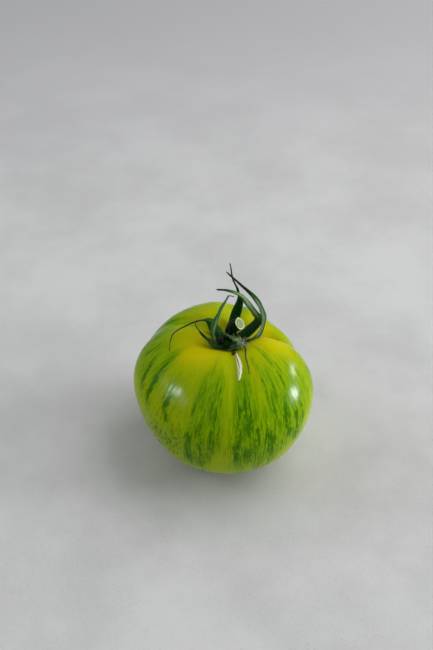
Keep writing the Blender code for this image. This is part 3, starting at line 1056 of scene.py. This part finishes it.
BLADES = (
    Blade("sepal_back", 178,
          ((175, 6.0, 3.4), (168, 8.7, 8.0), (162, 10.5, 12.7), (164, 10.4, 16.1), (170, 9.6, 20.3),
           (177, 8.5, 25.2), (185, 7.0, 32.1)),
          width=4.3, tail=0.62, twist=-20, bend=40, dry_from=0.55, dry_to=1.6, tip_width=1.1),
    Blade("sepal_right_inner", 125,
          ((120, 7.4, 3.1), (117, 11.0, 6.6), (124, 10.7, 9.6), (133, 8.7, 13.9), (147, 6.5, 18.3),
           (194, 4.1, 21.6), (241, 6.2, 23.2)),
          width=4.5, tail=0.97, twist=50, bend=50, dry_from=0.9, dry_to=1.05, tip_width=0.9,
          leaf=Leaf.PALE, pale=(0.45, 0.82)),
    Blade("sepal_right_outer", 76,
          ((72, 7.8, 3.6), (76, 9.6, 6.0), (84, 11.0, 8.2), (96, 11.7, 10.0), (112, 12.1, 11.7),
           (128, 12.5, 13.2), (147, 13.1, 15.1), (166, 13.7, 17.7), (187, 15.0, 22.0)),
          width=4.1, base_width=3.0, broadest=0.55, tail=0.97, twist=15, bend=45, dry_from=0.85, dry_to=1.1,
          hairs=500, leaf=Leaf.PALE, pale=(0.3, 0.72)),
    Blade("sepal_left_tall", -72,
          ((-76, 6.6, 4.5), (-63, 6.8, 10.1), (-52, 5.9, 15.6), (-47, 4.5, 19.6), (-43, 2.6, 22.6),
           (-29, 1.1, 23.6), (90, 1.2, 22.2)),
          width=3.9, broadest=0.27, tail=0.8, bend=55, dry_from=0.62, dry_to=0.95, leaf=Leaf.PALE,
          tip_width=0.9, pale=(0.2, 0.65), pale_side=0.1),
    Blade("sepal_left_thread", -118,
          ((-116, 6.6, 5.2), (-105, 8.8, 9.0), (-95, 11.6, 9.8), (-88, 16.0, 9.0), (-84, 20.2, 7.2),
           (-80, 22.6, 4.6), (-72, 23.3, 2.6)),
          width=6.0, broadest=0.22, tail=0.44, bend=45, twist=-50, dry_from=0.38, dry_to=0.52,
          leaf=Leaf.DRY, tip_width=0.75),
    Blade("sepal_front_left", -28,
          ((-44, 7.2, 2.4), (-56, 9.2, 5.6), (-68, 10.8, 7.8), (-76, 12.0, 9.4), (-82, 12.8, 11.8)),
          width=3.4, tail=0.85, bend=60, dry_from=0.6, dry_to=0.95),
    Blade("sepal_front_dry", 6,
          ((12, 7.0, 4.2), (24, 9.0, 7.2), (27, 10.8, 7.4), (24, 13.2, 7.0), (20, 16.8, 6.6),
           (17, 22.8, 5.2)),
          width=4.0, broadest=0.22, tail=0.5, bend=85, dry_from=0.28, dry_to=0.55, crumple=1.0,
          crumple_at=0.36, hairs=420, leaf=Leaf.DRY, tip_width=0.75),
    Blade("sepal_crossing", 46,
          ((48, 6.0, 3.6), (36, 5.0, 5.6), (4, 3.9, 6.6), (-40, 3.5, 7.4), (-75, 4.4, 8.2)),
          width=2.2, base_width=2.4, bend=80, hairs=200, leaf=Leaf.PALE),
)


@dataclass(frozen=True)
class Section:
    """One cross-section of a sepal.

    share: how far along the sepal it is, from 0 to 1.
    centre, across, away: its middle, the way across it, and the way that faces away from the stem.
    half, bend: half its width, and how far its edges turn from its middle, in radians.
    crumple: how far it is crumpled.
    dry, pale: how dry it is, and how strong its silvery streak is, which is partly a painted sheen, from 0 to
    1.
    """

    share: float
    centre: Vector
    across: Vector
    away: Vector
    half: float
    bend: float
    crumple: float
    dry: float
    pale: float


@dataclass
class Calyx:
    """The hub and the sepals, with the places of the down on them.

    floor: the middle of the hollow's floor, where the hub's axis starts.
    hub_profile: the hub's outline from its foot up, as (share of its radius, share of its height).
    thickness, rib: how thick a sepal is along its middle, and how far its midrib stands out.
    steps, columns: how finely a sepal is divided along it and across it.
    skin_gap: how far above the skin a sepal that lies on it stays.
    wobble: how far a sepal's middle strays from its route.
    """

    floor: Vector
    hub_radius: float = 4.0 * MM
    hub_profile: tuple[tuple[float, float], ...] = (
        (0.05, 0.02), (0.5, 0.06), (0.8, 0.17), (0.96, 0.27), (1.0, 0.42),
        (0.93, 0.62), (0.8, 0.8), (0.6, 0.93), (0.35, 0.99), (0.05, 1.0))
    hub_segments: int = 96
    hub_groove: float = 0.16 * MM
    hub_grit: float = 0.12 * MM
    hub_hair_chance: float = 0.025
    thickness: float = 0.34 * MM
    rib: float = 0.20 * MM
    steps: int = 96
    columns: int = 14
    skin_gap: float = 0.25 * MM
    wobble: float = 0.35 * MM

    def around(self, azimuth: float, distance: float, height: float) -> Vector:
        """Finds a point by where it is around the hub's axis.

        Args:
            azimuth: in degrees.
            distance: from the axis, in mm.
            height: over the hollow's floor, in mm.

        Returns:
            The point, in metres.
        """
        angle = math.radians(azimuth)
        return self.floor + Vector((distance * math.sin(angle), -distance * math.cos(angle), height)) * MM

    def half_width(self, blade: Blade, share: float) -> float:
        """Half a sepal's width.

        Args:
            blade: the sepal.
            share: how far along it, from 0 to 1.

        Returns:
            Half its width there, in metres.
        """
        if share < blade.broadest:
            swell = math.sin(math.pi / 2 * share / blade.broadest)
            return (blade.base_width + (blade.width - blade.base_width) * swell) / 2 * MM
        taper = max(0.0, (blade.tail - share) / (blade.tail - blade.broadest))
        slim = blade.tip_width * (1 - 0.6 * max(0.0, share - blade.tail) / (1.001 - blade.tail))
        return (slim + (blade.width - blade.tip_width) * math.sin(math.pi / 2 * taper) ** 1.5) / 2 * MM

    def sections(self, blade: Blade, seed: int, phases: np.ndarray) -> Iterator[Section]:
        """Walks along a sepal.

        Args:
            blade: its sizes.
            seed: what makes its irregularities its own.
            phases: where its waves begin, in radians.

        Yields:
            Its cross-sections, from the hub to the tip.
        """
        route = [self.around(blade.leaves, 2.4, 1.7), self.around(blade.leaves, 4.7, 1.3)]
        route += [self.around(*point) for point in blade.route]
        side = Vector((math.cos(math.radians(blade.leaves)), math.sin(math.radians(blade.leaves)), 0.0))
        for step in range(self.steps + 1):
            share = step / self.steps
            ahead = (curve_point(route, share + 0.008) - curve_point(route, share - 0.008)).normalized()
            side = (side - ahead * side.dot(ahead)).normalized()
            turn = math.radians(blade.twist) * share + 0.12 * math.sin(7 * share + phases[0])
            across = Quaternion(ahead, turn) @ side
            drift = Vector([soft_noise.noise(Vector((share * 5, seed + axis * 3.1, 0.5)))
                            for axis in range(3)])
            drift *= self.wobble * min(1.0, share * 4) * (1.6 if share > blade.tail else 1.0)
            # Where the silvery streak lies, which is partly a painted sheen.
            pale = fade(share, blade.pale[0] - 0.12, blade.pale[0] + 0.06)
            pale *= 1 - fade(share, blade.pale[1] - 0.06, blade.pale[1] + 0.14)
            yield Section(
                share, curve_point(route, share) + drift, across, across.cross(ahead),
                half=self.half_width(blade, share),
                bend=math.radians(blade.bend) * (0.75 + 0.5 * share + 0.15 * math.sin(9 * share + phases[1])),
                crumple=math.exp(-(((share - blade.crumple_at) / 0.13) ** 2)) * blade.crumple * MM,
                dry=fade(share, blade.dry_from, blade.dry_to), pale=pale)

    def face_point(self, section: Section, u: float, inside: bool, seed: int,
                   phases: np.ndarray) -> tuple[Vector, Vector]:
        """A point of a sepal's inner or outer face.

        Args:
            section: its cross-section there.
            u: how far across it is, from -1 to 1.
            inside: whether it is on the face towards the stem.
            seed: what makes the sepal's irregularities its own.
            phases: where the sepal's waves begin, in radians.

        Returns:
            The point, and the way its face looks.
        """
        half, angle = section.half, u * section.bend
        flat = half / section.bend
        rise = flat * (1 - math.cos(angle)) - 0.3 * half * section.bend / 2
        ripples, phase = (26, phases[2]) if u > 0 else (31, phases[3])
        wave = 0.10 * half * abs(u) ** 3 * math.sin(ripples * section.share + phase)
        looks = section.away * math.cos(angle) - section.across * math.sin(angle)
        body = self.thickness * (0.38 + 0.62 * (1 - u * u)) * min(1.0, half / (0.9 * MM) + 0.35)
        ridge = math.exp(-((u / 0.17) ** 2)) * self.rib * min(1.0, half / (1.2 * MM))
        off_middle = -(body / 2 + ridge) if inside else body / 2 - ridge * 0.35
        place = section.centre + section.across * flat * math.sin(angle) + section.away * (rise + wave)
        place += looks * off_middle
        if section.crumple > 1e-6:
            where = Vector((section.share * 14, u * 1.6, seed * 1.7))
            place += Vector(soft_noise.noise_vector(where)) * section.crumple
        return place, -looks if inside else looks

    def hair_chance(self, blade: Blade, section: Section, u: float) -> float:
        """How likely a hair stands at a point: more at the edges and where the sepal is crumpled.

        Args:
            blade: the sepal.
            section: its cross-section there.
            u: how far across it is, from -1 to 1.

        Returns:
            The chance, and 0 at the sepal's two ends.
        """
        if not 0.0 < section.share < 1.0:
            return 0.0
        even = blade.hairs / (self.steps * 2 * (self.columns + 1))
        edge = 1.8 if abs(u) ** 3 > 0.5 else 0.85
        return even * edge * (1.0 + 2.5 * (section.crumple > 0.25 * MM) - 0.7 * (section.share > blade.tail))

    def blade(self, blade: Blade, ground: "SkinGround", seed: int) -> tuple[bpy.types.Object, list[Hair]]:
        """Builds one sepal.

        Args:
            blade: its sizes.
            ground: the skin under it.
            seed: what makes its irregularities its own.

        Returns:
            The piece, and its hairs.
        """
        rng = np.random.default_rng(seed)
        phases = rng.uniform(0, 6.28, 4)
        around = 2 * (self.columns + 1)
        points: list[Vector] = []
        hairs: list[Hair] = []
        names = ("outside", "across", "along", "dryness", "weave", "pale")
        numbers: dict[str, list] = {name: [] for name in names}
        for section in self.sections(blade, seed, phases):
            for index in range(around):
                inside = index > self.columns
                column = around - 1 - index if inside else index
                u = -1 + 2 * column / self.columns
                place, looks = self.face_point(section, u, inside, seed, phases)
                place.z = max(place.z, ground.height(place.x, place.y) + self.skin_gap)
                points.append(place)
                streak = 0.45 + 0.6 * math.exp(-(((u - blade.pale_side) / 0.4) ** 2))
                numbers["outside"].append(0.0 if inside else 1.0)
                numbers["across"].append(u)
                numbers["along"].append(section.share)
                numbers["dryness"].append(section.dry)
                numbers["pale"].append(section.pale * streak)
                numbers["weave"].append((u * 2.2 + 3.0 * seed, section.share * 9.0 - abs(u) * 2.4,
                                         4.0 if inside else 0.0))
                chance = self.hair_chance(blade, section, u)
                if chance and rng.random() < chance:
                    tilt = Vector(rng.normal(0, 0.35, 3))
                    way = looks + section.across * u * 1.4 * abs(u) ** 3 + tilt
                    hairs.append((place, way.normalized(), rng.uniform(0.35, 1.0) * MM))
        finish = LeafFinish(blade.leaf.value, **LEAF_COLOURS[blade.leaf]).material()
        faces = ring_faces(self.steps + 1, around)
        piece = make_object(blade.name + "_leaf", points, faces, finish, numbers)
        return install(piece, RECORD_SLOT[blade.leaf], blade.name), hairs

    def hub(self) -> tuple[bpy.types.Object, list[Hair]]:
        """Builds the receptacle: a lobed, ribbed cushion that the sepals spread from.

        Returns:
            The piece, and its hairs.
        """
        rng = np.random.default_rng(5)
        low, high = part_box("calyx_hub")
        middle = Vector(((low.x + high.x) / 2, (low.y + high.y) / 2, low.z))
        points: list[Vector] = []
        hairs: list[Hair] = []
        for radius_share, height_share in self.hub_profile:
            for step in range(self.hub_segments):
                angle = 2 * math.pi * step / self.hub_segments
                lobe = max(float(bell(np.array(angle), blade.leaves, 15)) for blade in BLADES)
                radius = self.hub_radius * radius_share * (0.86 + 0.2 * lobe * radius_share)
                groove = self.hub_groove * (lobe - 0.5) * radius_share
                z = (high.z - low.z) * height_share + groove
                place = middle + Vector((radius * math.sin(angle), -radius * math.cos(angle), z))
                place += Vector(soft_noise.noise_vector(place * HUB_GRAIN)) * self.hub_grit
                points.append(place)
                if height_share > 0.5 and rng.random() < self.hub_hair_chance:
                    way = Vector((math.sin(angle) * radius_share, -math.cos(angle) * radius_share, 0.8))
                    hairs.append((place, (way + Vector(rng.normal(0, 0.3, 3))).normalized(),
                                  rng.uniform(0.3, 0.8) * MM))
        # Along is 0 all over the hub, so the whole hub takes the sepals' painted shade near the hub; its dark
        # inner colour is partly painted shade too.
        numbers = {"outside": np.full(len(points), 0.6), "across": np.full(len(points), 0.5),
                   "along": np.zeros(len(points)), "dryness": np.full(len(points), 0.05),
                   "pale": np.zeros(len(points)), "weave": [tuple(point * HUB_GRAIN) for point in points]}
        finish = LeafFinish("hub", inner=srgb(6, 34, 4), outer=srgb(56, 124, 18)).material()
        faces = ring_faces(len(self.hub_profile), self.hub_segments)
        piece = make_object("calyx_hub_cushion", points, faces, finish, numbers)
        return install(piece, "calyx", "calyx_hub"), hairs


class SkinGround:
    """Finds the height of the skin under a point of the shoulder."""

    gap_fills = 3  # how many cells wide a gap between the map's points may be

    def __init__(self, fruit: Fruit) -> None:
        """Lays a fine map of the skin's height around the hollow.

        Args:
            fruit: the fruit, set in the frame.
        """
        azimuth, polar = np.meshgrid(np.radians(np.arange(-180, 180, 1.0)),
                                     np.radians(np.arange(0.1, 75, 0.5)), indexing="ij")
        points = fruit.surface(azimuth, polar).reshape(-1, 3)
        self.cell = 0.5 * MM
        self.low = points[:, :2].min(0)
        size = np.ceil((points[:, :2].max(0) - self.low) / self.cell).astype(int) + 2
        self.heights = np.zeros(size)
        cells = ((points[:, :2] - self.low) / self.cell).astype(int)
        np.maximum.at(self.heights, (cells[:, 0], cells[:, 1]), points[:, 2])
        for _ in range(self.gap_fills):
            padded = np.pad(self.heights, 1)
            beside = [padded[1 + dx:padded.shape[0] - 1 + dx, 1 + dy:padded.shape[1] - 1 + dy]
                      for dx in (-1, 0, 1) for dy in (-1, 0, 1)]
            self.heights = np.where(self.heights > 0, self.heights, np.max(beside, axis=0))

    def height(self, x: float, y: float) -> float:
        """Reads the map between its points.

        Args:
            x: across the frame.
            y: back through the frame.

        Returns:
            The skin's height there, or 0 off the map.
        """
        u, v = (x - self.low[0]) / self.cell - 0.5, (y - self.low[1]) / self.cell - 0.5
        i, j = int(math.floor(u)), int(math.floor(v))
        if not (0 <= i < self.heights.shape[0] - 1 and 0 <= j < self.heights.shape[1] - 1):
            return 0.0
        s, t = u - i, v - j
        h = self.heights
        return float((h[i, j] * (1 - s) + h[i + 1, j] * s) * (1 - t)
                     + (h[i, j + 1] * (1 - s) + h[i + 1, j + 1] * s) * t)


@dataclass
class Stem:
    """The stub of the fruit stalk, bent over and cut clean.

    rise, bend, reach: how far it goes up, round its bend, and on along its lean.
    cut_profile: the cut's relief from its edge inwards, as (share of the radius, height in mm).
    """

    foot: Vector
    radius: float = 1.9 * MM
    cut_radius: float = 2.4 * MM
    rise: float = 2.3 * MM
    bend: float = 1.4 * MM
    reach: float = 3.6 * MM
    sunk: float = 0.9 * MM
    lean: Vector = field(default_factory=lambda: Vector((0.66, -0.30, 0.69)).normalized())
    flare: float = 0.45
    cut_profile: tuple[tuple[float, float], ...] = (
        (0.975, 0.05), (0.94, 0.07), (0.86, 0.02), (0.74, -0.05), (0.64, -0.06), (0.57, 0.03), (0.5, 0.05),
        (0.42, -0.10), (0.32, -0.28), (0.2, -0.42), (0.1, -0.52), (0.02, -0.56))
    steps: int = 48
    around: int = 56
    ribs: int = 5
    pits: float = 0.05 * MM
    hair_chance: float = 0.05

    def route(self) -> list[Vector]:
        """Lays the stem's middle line.

        Returns:
            The points that it passes through, from inside the hub to the cut.
        """
        up = Vector((0.0, 0.0, 1.0))
        bend = self.foot + up * (self.rise + self.bend) + self.lean * self.bend
        return [self.foot - up * self.sunk, self.foot + up * self.rise, bend, bend + self.lean * self.reach]

    def build(self) -> tuple[bpy.types.Object, list[Hair]]:
        """Builds the stem.

        Returns:
            The piece, and its hairs.
        """
        rng = np.random.default_rng(3)
        route = self.route()
        points: list[Vector] = []
        hairs: list[Hair] = []
        numbers: dict[str, list] = {"cut": [], "out": [], "weave": []}
        rows = [(step / self.steps, 1.0, 0.0, 0.0) for step in range(self.steps + 1)]
        rows += [(1.0, radius_share, height * MM, 1.0) for radius_share, height in self.cut_profile]
        for share, radius_share, height, on_cut in rows:
            centre = curve_point(route, share)
            ahead = (curve_point(route, share + 0.02) - curve_point(route, share - 0.02)).normalized()
            turn = Vector((0.0, 0.0, 1.0)).rotation_difference(ahead)
            radius = self.radius + (self.cut_radius - self.radius) * share**2
            radius *= 1 + self.flare * (1 - share) ** 5
            for step in range(self.around):
                angle = 2 * math.pi * step / self.around
                ribbed = 1 + 0.035 * math.cos(self.ribs * angle + 1.0) * (1 - 0.5 * on_cut)
                rough = soft_noise.noise(Vector((3 * math.cos(angle), 3 * math.sin(angle), share * 7)))
                size = radius * (ribbed + 0.045 * rough) * radius_share
                pitted = soft_noise.noise(Vector((radius_share * 9, angle * 2, 4.0)))
                lift = height + on_cut * self.pits * pitted
                place = centre + turn @ Vector((size * math.cos(angle), size * math.sin(angle), lift))
                points.append(place)
                numbers["cut"].append(on_cut)
                numbers["out"].append(radius_share)
                numbers["weave"].append((math.cos(angle) * 7, math.sin(angle) * 7, share * 4))
                if not on_cut and share > 0.1 and rng.random() < self.hair_chance:
                    way = turn @ Vector((math.cos(angle), math.sin(angle), rng.normal(0, 0.3)))
                    hairs.append((place, way.normalized(), rng.uniform(0.3, 0.9) * MM))
        faces = ring_faces(len(rows), self.around)
        piece = make_object("stem_stub", points, faces, StalkFinish().material(), numbers)
        return install(piece, "stem", "stem"), hairs


@dataclass
class Tubes:
    """Many thin tubes, gathered into one mesh."""

    sides: int
    points: list[Vector] = field(default_factory=list)
    faces: list[tuple[int, ...]] = field(default_factory=list)
    along: list[float] = field(default_factory=list)

    def ring(self, centre: Vector, first: Vector, second: Vector, radius: float, share: float) -> None:
        """Adds one ring of a tube.

        Args:
            centre: its middle.
            first, second: two ways across the tube.
            radius: how far its points lie from the middle.
            share: how far along the tube it is, from 0 to 1.
        """
        for step in range(self.sides):
            angle = 2 * math.pi * step / self.sides
            self.points.append(centre + (first * math.cos(angle) + second * math.sin(angle)) * radius)
            self.along.append(share)

    def close(self, rings: int) -> None:
        """Joins the last rings into one closed tube.

        Args:
            rings: how many rings it has.
        """
        first = len(self.points) - rings * self.sides
        self.faces += [tuple(first + corner for corner in face) for face in ring_faces(rings, self.sides)]


@dataclass(frozen=True)
class Down:
    """The fine hairs of the calyx and stem, as one piece.

    taper, droop, sunk: how much thinner a hair's tip is, how far the tip hangs aside and how deep its root
        sits, each as a share.
    """

    radius: float = 0.026 * MM
    taper: float = 0.75
    droop: float = 0.25
    sunk: float = 0.06
    sides: int = 3
    joints: int = 3

    def build(self, hairs: Sequence[Hair]) -> bpy.types.Object:
        """Builds the hairs.

        Args:
            hairs: each hair's root, direction and length.

        Returns:
            The piece.
        """
        rng = np.random.default_rng(17)
        tubes = Tubes(self.sides)
        for root, way, length in hairs:
            side = way.orthogonal().normalized()
            droop = Vector(rng.normal(0, self.droop, 3))
            for joint in range(self.joints + 1):
                share = joint / self.joints
                centre = root + way * length * (share - self.sunk) + droop * length * share * share
                tubes.ring(centre, side, way.cross(side), self.radius * (1 - self.taper * share), share)
            tubes.close(self.joints + 1)
        finish = DownFinish().material()
        piece = make_object("calyx_down", tubes.points, tubes.faces, finish, {"along": tubes.along})
        return install(piece, "sepal")


@dataclass(frozen=True)
class Curl:
    """The middle line of one curled thread, which turns round an axis and drifts along it."""

    centre: Vector
    axis: Vector
    loop: float
    turns: float
    drift: float
    phase: float

    def point(self, share: float) -> Vector:
        """A point of the thread's middle line.

        Args:
            share: how far along the thread, from 0 to 1.

        Returns:
            The point.
        """
        side = self.axis.orthogonal().normalized()
        other = self.axis.cross(side)
        angle = self.phase + self.turns * share
        swing = self.loop * (0.6 + 0.6 * share)
        return (self.centre + (side * math.cos(angle) + other * math.sin(angle)) * swing
                + self.axis * self.drift * share)


@dataclass(frozen=True)
class Tangle:
    """Curled, dried threads where the shrivelled sepal has frayed.

    path: where they hang, as Blade gives a route.
    loop: the smallest and the largest radius of their curls.
    """

    path: tuple[tuple[float, float, float], ...] = (
        (-4, 4.6, 6.9), (18, 6.2, 6.6), (26, 8.6, 7.6), (26, 10.6, 7.9))
    threads: int = 46
    radius: float = 0.07 * MM
    loop: tuple[float, float] = (0.25 * MM, 0.75 * MM)
    spread: float = 0.75 * MM
    joints: int = 16
    sides: int = 5

    def build(self, calyx: Calyx) -> bpy.types.Object:
        """Builds the threads.

        Args:
            calyx: the calyx that they hang in.

        Returns:
            The piece.
        """
        rng = np.random.default_rng(23)
        route = [calyx.around(*point) for point in self.path]
        tubes = Tubes(self.sides)
        for _ in range(self.threads):
            centre = curve_point(route, rng.beta(2.6, 1.5)) + Vector(rng.normal(0, self.spread, 3))
            axis = Vector(rng.normal(0, 1, 3)).normalized()
            curl = Curl(centre, axis, rng.uniform(*self.loop), rng.uniform(3.0, 9.0),
                        rng.uniform(0.3, 1.2) * MM, rng.uniform(0, 6.28))
            across = Vector((0.0, 0.0, 0.0))
            for joint in range(self.joints + 1):
                share = joint / self.joints
                ahead = (curl.point(share + 0.01) - curl.point(share - 0.01)).normalized()
                across = (across - ahead * across.dot(ahead)).normalized() if joint else (
                    ahead.orthogonal().normalized())
                radius = self.radius * (1.15 - 0.6 * share)
                tubes.ring(curl.point(share), across, ahead.cross(across), radius, share)
            tubes.close(self.joints + 1)
        finish = DownFinish("tangle", srgb(104, 118, 78), srgb(170, 178, 146)).material()
        piece = make_object("dried_tangle", tubes.points, tubes.faces, finish, {"along": tubes.along})
        return install(piece, "dry_sepal")


@dataclass(frozen=True)
class Scrap:
    """A withered scrap of the flower, left in the hollow beside the hub.

    azimuth, distance, height: where it lies, as Calyx.around takes it.
    """

    azimuth: float = -72.0
    distance: float = 4.2
    height: float = 3.4
    size: float = 1.5 * MM
    rings: int = 22
    segments: int = 32

    def build(self, calyx: Calyx) -> bpy.types.Object:
        """Builds the crumpled scrap.

        Args:
            calyx: the calyx that it lies in.

        Returns:
            The piece.
        """
        centre = calyx.around(self.azimuth, self.distance, self.height)
        points, weave = [], []
        for ring in range(self.rings):
            polar = math.pi * (ring + 0.5) / self.rings
            for step in range(self.segments):
                angle = 2 * math.pi * step / self.segments
                way = Vector((math.sin(polar) * math.cos(angle), math.sin(polar) * math.sin(angle) * 0.7,
                              -math.cos(polar) * 0.8))
                folds = soft_noise.noise(way * 2.6 + Vector((9.0, 2.0, 5.0)))
                creases = abs(soft_noise.noise(way * 6.0))
                points.append(centre + way * self.size * (0.75 + 0.55 * folds - 0.35 * creases))
                weave.append(tuple(way * 6))
        count = len(points)
        numbers = {"outside": np.ones(count), "across": np.full(count, 0.5), "along": np.zeros(count),
                   "dryness": np.ones(count), "pale": np.zeros(count), "weave": weave}
        finish = LeafFinish("withered", dry=srgb(118, 92, 74), dry_dark=srgb(52, 40, 30)).material()
        piece = make_object("withered_scrap", points, ring_faces(self.rings, self.segments), finish, numbers)
        return install(piece, "dry_sepal")


# ---------------------------------------------------------------- stage


class Work(Enum):
    """What a light is there for: to light the scene, or to be seen in the skin's gloss."""

    FILL = "fill"
    GLINT = "glint"


@dataclass(frozen=True)
class Window:
    """One light: where it stands as seen from the fruit, how big and how strong it is, and what it is for.

    azimuth, elevation: the way to it, in degrees.
    distance, size: how far it is and its two sides, in metres.
    """

    name: str
    azimuth: float
    elevation: float
    distance: float
    size: tuple[float, float]
    power: float
    colour: Colour = (1.0, 1.0, 1.0)
    work: Work = Work.FILL


@dataclass(frozen=True)
class Studio:
    """A plain pale floor, soft daylight, and a camera looking down on the fruit.

    look_aside, look_behind, look_height: the point that the camera circles.
    elevation, distance: how far above the floor it looks from, in degrees, and how far from that point.
    tilt, pan: how far it is turned up and to the left from looking straight at that point, in degrees.
    """

    windows: tuple[Window, ...] = (
        Window("left_window", -92, 38, 1.5, (0.14, 0.15), 10.5, (0.72, 0.90, 1.0), Work.GLINT),
        Window("left_second_window", -78, 40, 1.5, (0.22, 0.16), 1.8, (0.9, 0.97, 1.0), Work.GLINT),
        Window("right_window", 91, 10, 1.5, (0.22, 0.2), 25.0, (0.92, 1.0, 0.99), Work.GLINT),
        Window("right_second_window", 86, 17, 1.5, (0.2, 0.2), 17.0, (0.94, 1.0, 0.99), Work.GLINT),
        Window("right_back_window", 113, 19, 1.5, (0.28, 0.2), 11.0, (1.0, 1.0, 1.0), Work.GLINT),
        Window("right_window_glow", 96, 15, 1.5, (0.9, 0.5), 6.0, (1.0, 1.0, 1.0), Work.GLINT),
        Window("soft_left", -92, 38, 1.5, (0.4, 0.4), 3.0, (0.85, 0.95, 1.0)),
        Window("soft_side", 90, 14, 1.5, (0.4, 0.4), 10.0),
        Window("soft_right", 108, 50, 1.0, (1.0, 1.0), 6.2),
    )
    sky: float = 0.405
    sky_colour: Colour = (1.0, 0.99, 0.98)
    look_aside: float = 0.45 * MM
    look_behind: float = 1.6 * MM
    look_height: float = 26.4 * MM
    elevation: float = 45.0
    distance: float = 345 * MM
    tilt: float = 4.06
    pan: float = 0.63
    lens: float = 50.0
    floor_reach: float = 3.0
    floor_gap: float = 0.05 * MM

    def build(self) -> None:
        """Builds the floor, the lights and the camera."""
        self._floor()
        for window in self.windows:
            self._light(window)
        world = bpy.data.worlds.new("studio")
        world.use_nodes = True
        background = world.node_tree.nodes["Background"]
        background.inputs["Color"].default_value = (*self.sky_colour, 1.0)
        background.inputs["Strength"].default_value = self.sky
        bpy.context.scene.world = world
        bpy.context.scene.view_settings.view_transform = "Standard"
        self._camera()

    def _floor(self) -> None:
        """Lays the floor just under the fruit."""
        reach, below = self.floor_reach, -self.floor_gap
        corners = [(x * reach, y * reach, below) for x, y in ((-1, -1), (1, -1), (1, 1), (-1, 1))]
        make_object("floor", corners, [(0, 1, 2, 3)], FloorFinish().material())

    @staticmethod
    def _toward(azimuth: float, elevation: float) -> Vector:
        """Returns the direction at an azimuth and an elevation, in degrees."""
        around, up = math.radians(azimuth), math.radians(elevation)
        return Vector((math.sin(around) * math.cos(up), -math.cos(around) * math.cos(up), math.sin(up)))

    def _light(self, window: Window) -> None:
        """Hangs one soft light, facing the fruit.

        Args:
            window: its place, size and strength.
        """
        data = bpy.data.lights.new(window.name, "AREA")
        data.shape = "RECTANGLE"
        data.size, data.size_y = window.size
        data.energy = window.power
        data.color = window.colour
        made = bpy.data.objects.new(window.name, data)
        way = self._toward(window.azimuth, window.elevation)
        made.location = way * window.distance + Vector((0.0, 0.0, self.look_height))
        made.rotation_euler = way.to_track_quat("Z", "Y").to_euler()
        made.visible_glossy = window.work is Work.GLINT
        made.visible_diffuse = window.work is Work.FILL
        bpy.context.scene.collection.objects.link(made)

    def _camera(self) -> None:
        """Sets the camera."""
        data = bpy.data.cameras.new("camera")
        data.lens = self.lens
        data.clip_start = 0.01
        made = bpy.data.objects.new("camera", data)
        look = Vector((self.look_aside, self.look_behind, self.look_height))
        made.location = look + self._toward(0.0, self.elevation) * self.distance
        up = math.radians(90 - self.elevation + self.tilt)
        made.rotation_euler = Euler((up, 0.0, math.radians(self.pan)))
        bpy.context.scene.collection.objects.link(made)
        bpy.context.scene.camera = made


def main() -> None:
    """Builds the tomato, its stage and its camera."""
    logging.basicConfig(level=logging.INFO, format="%(message)s")
    soft_noise.seed_set(NOISE_SEED)
    fruit = Fruit()
    fruit.build()
    calyx = Calyx(fruit.floor())
    ground = SkinGround(fruit)
    hairs: list[Hair] = []
    for seed, blade in enumerate(BLADES, 1):
        hairs += calyx.blade(blade, ground, seed)[1]
    hairs += calyx.hub()[1]
    low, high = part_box("calyx_hub")
    foot = Vector(((low.x + high.x) / 2, (low.y + high.y) / 2, high.z + STEM_GAP))
    hairs += Stem(foot).build()[1]
    Scrap().build(calyx)
    Tangle().build(calyx)
    Down().build(hairs)
    Studio().build()


if __name__ == "__main__":
    main()
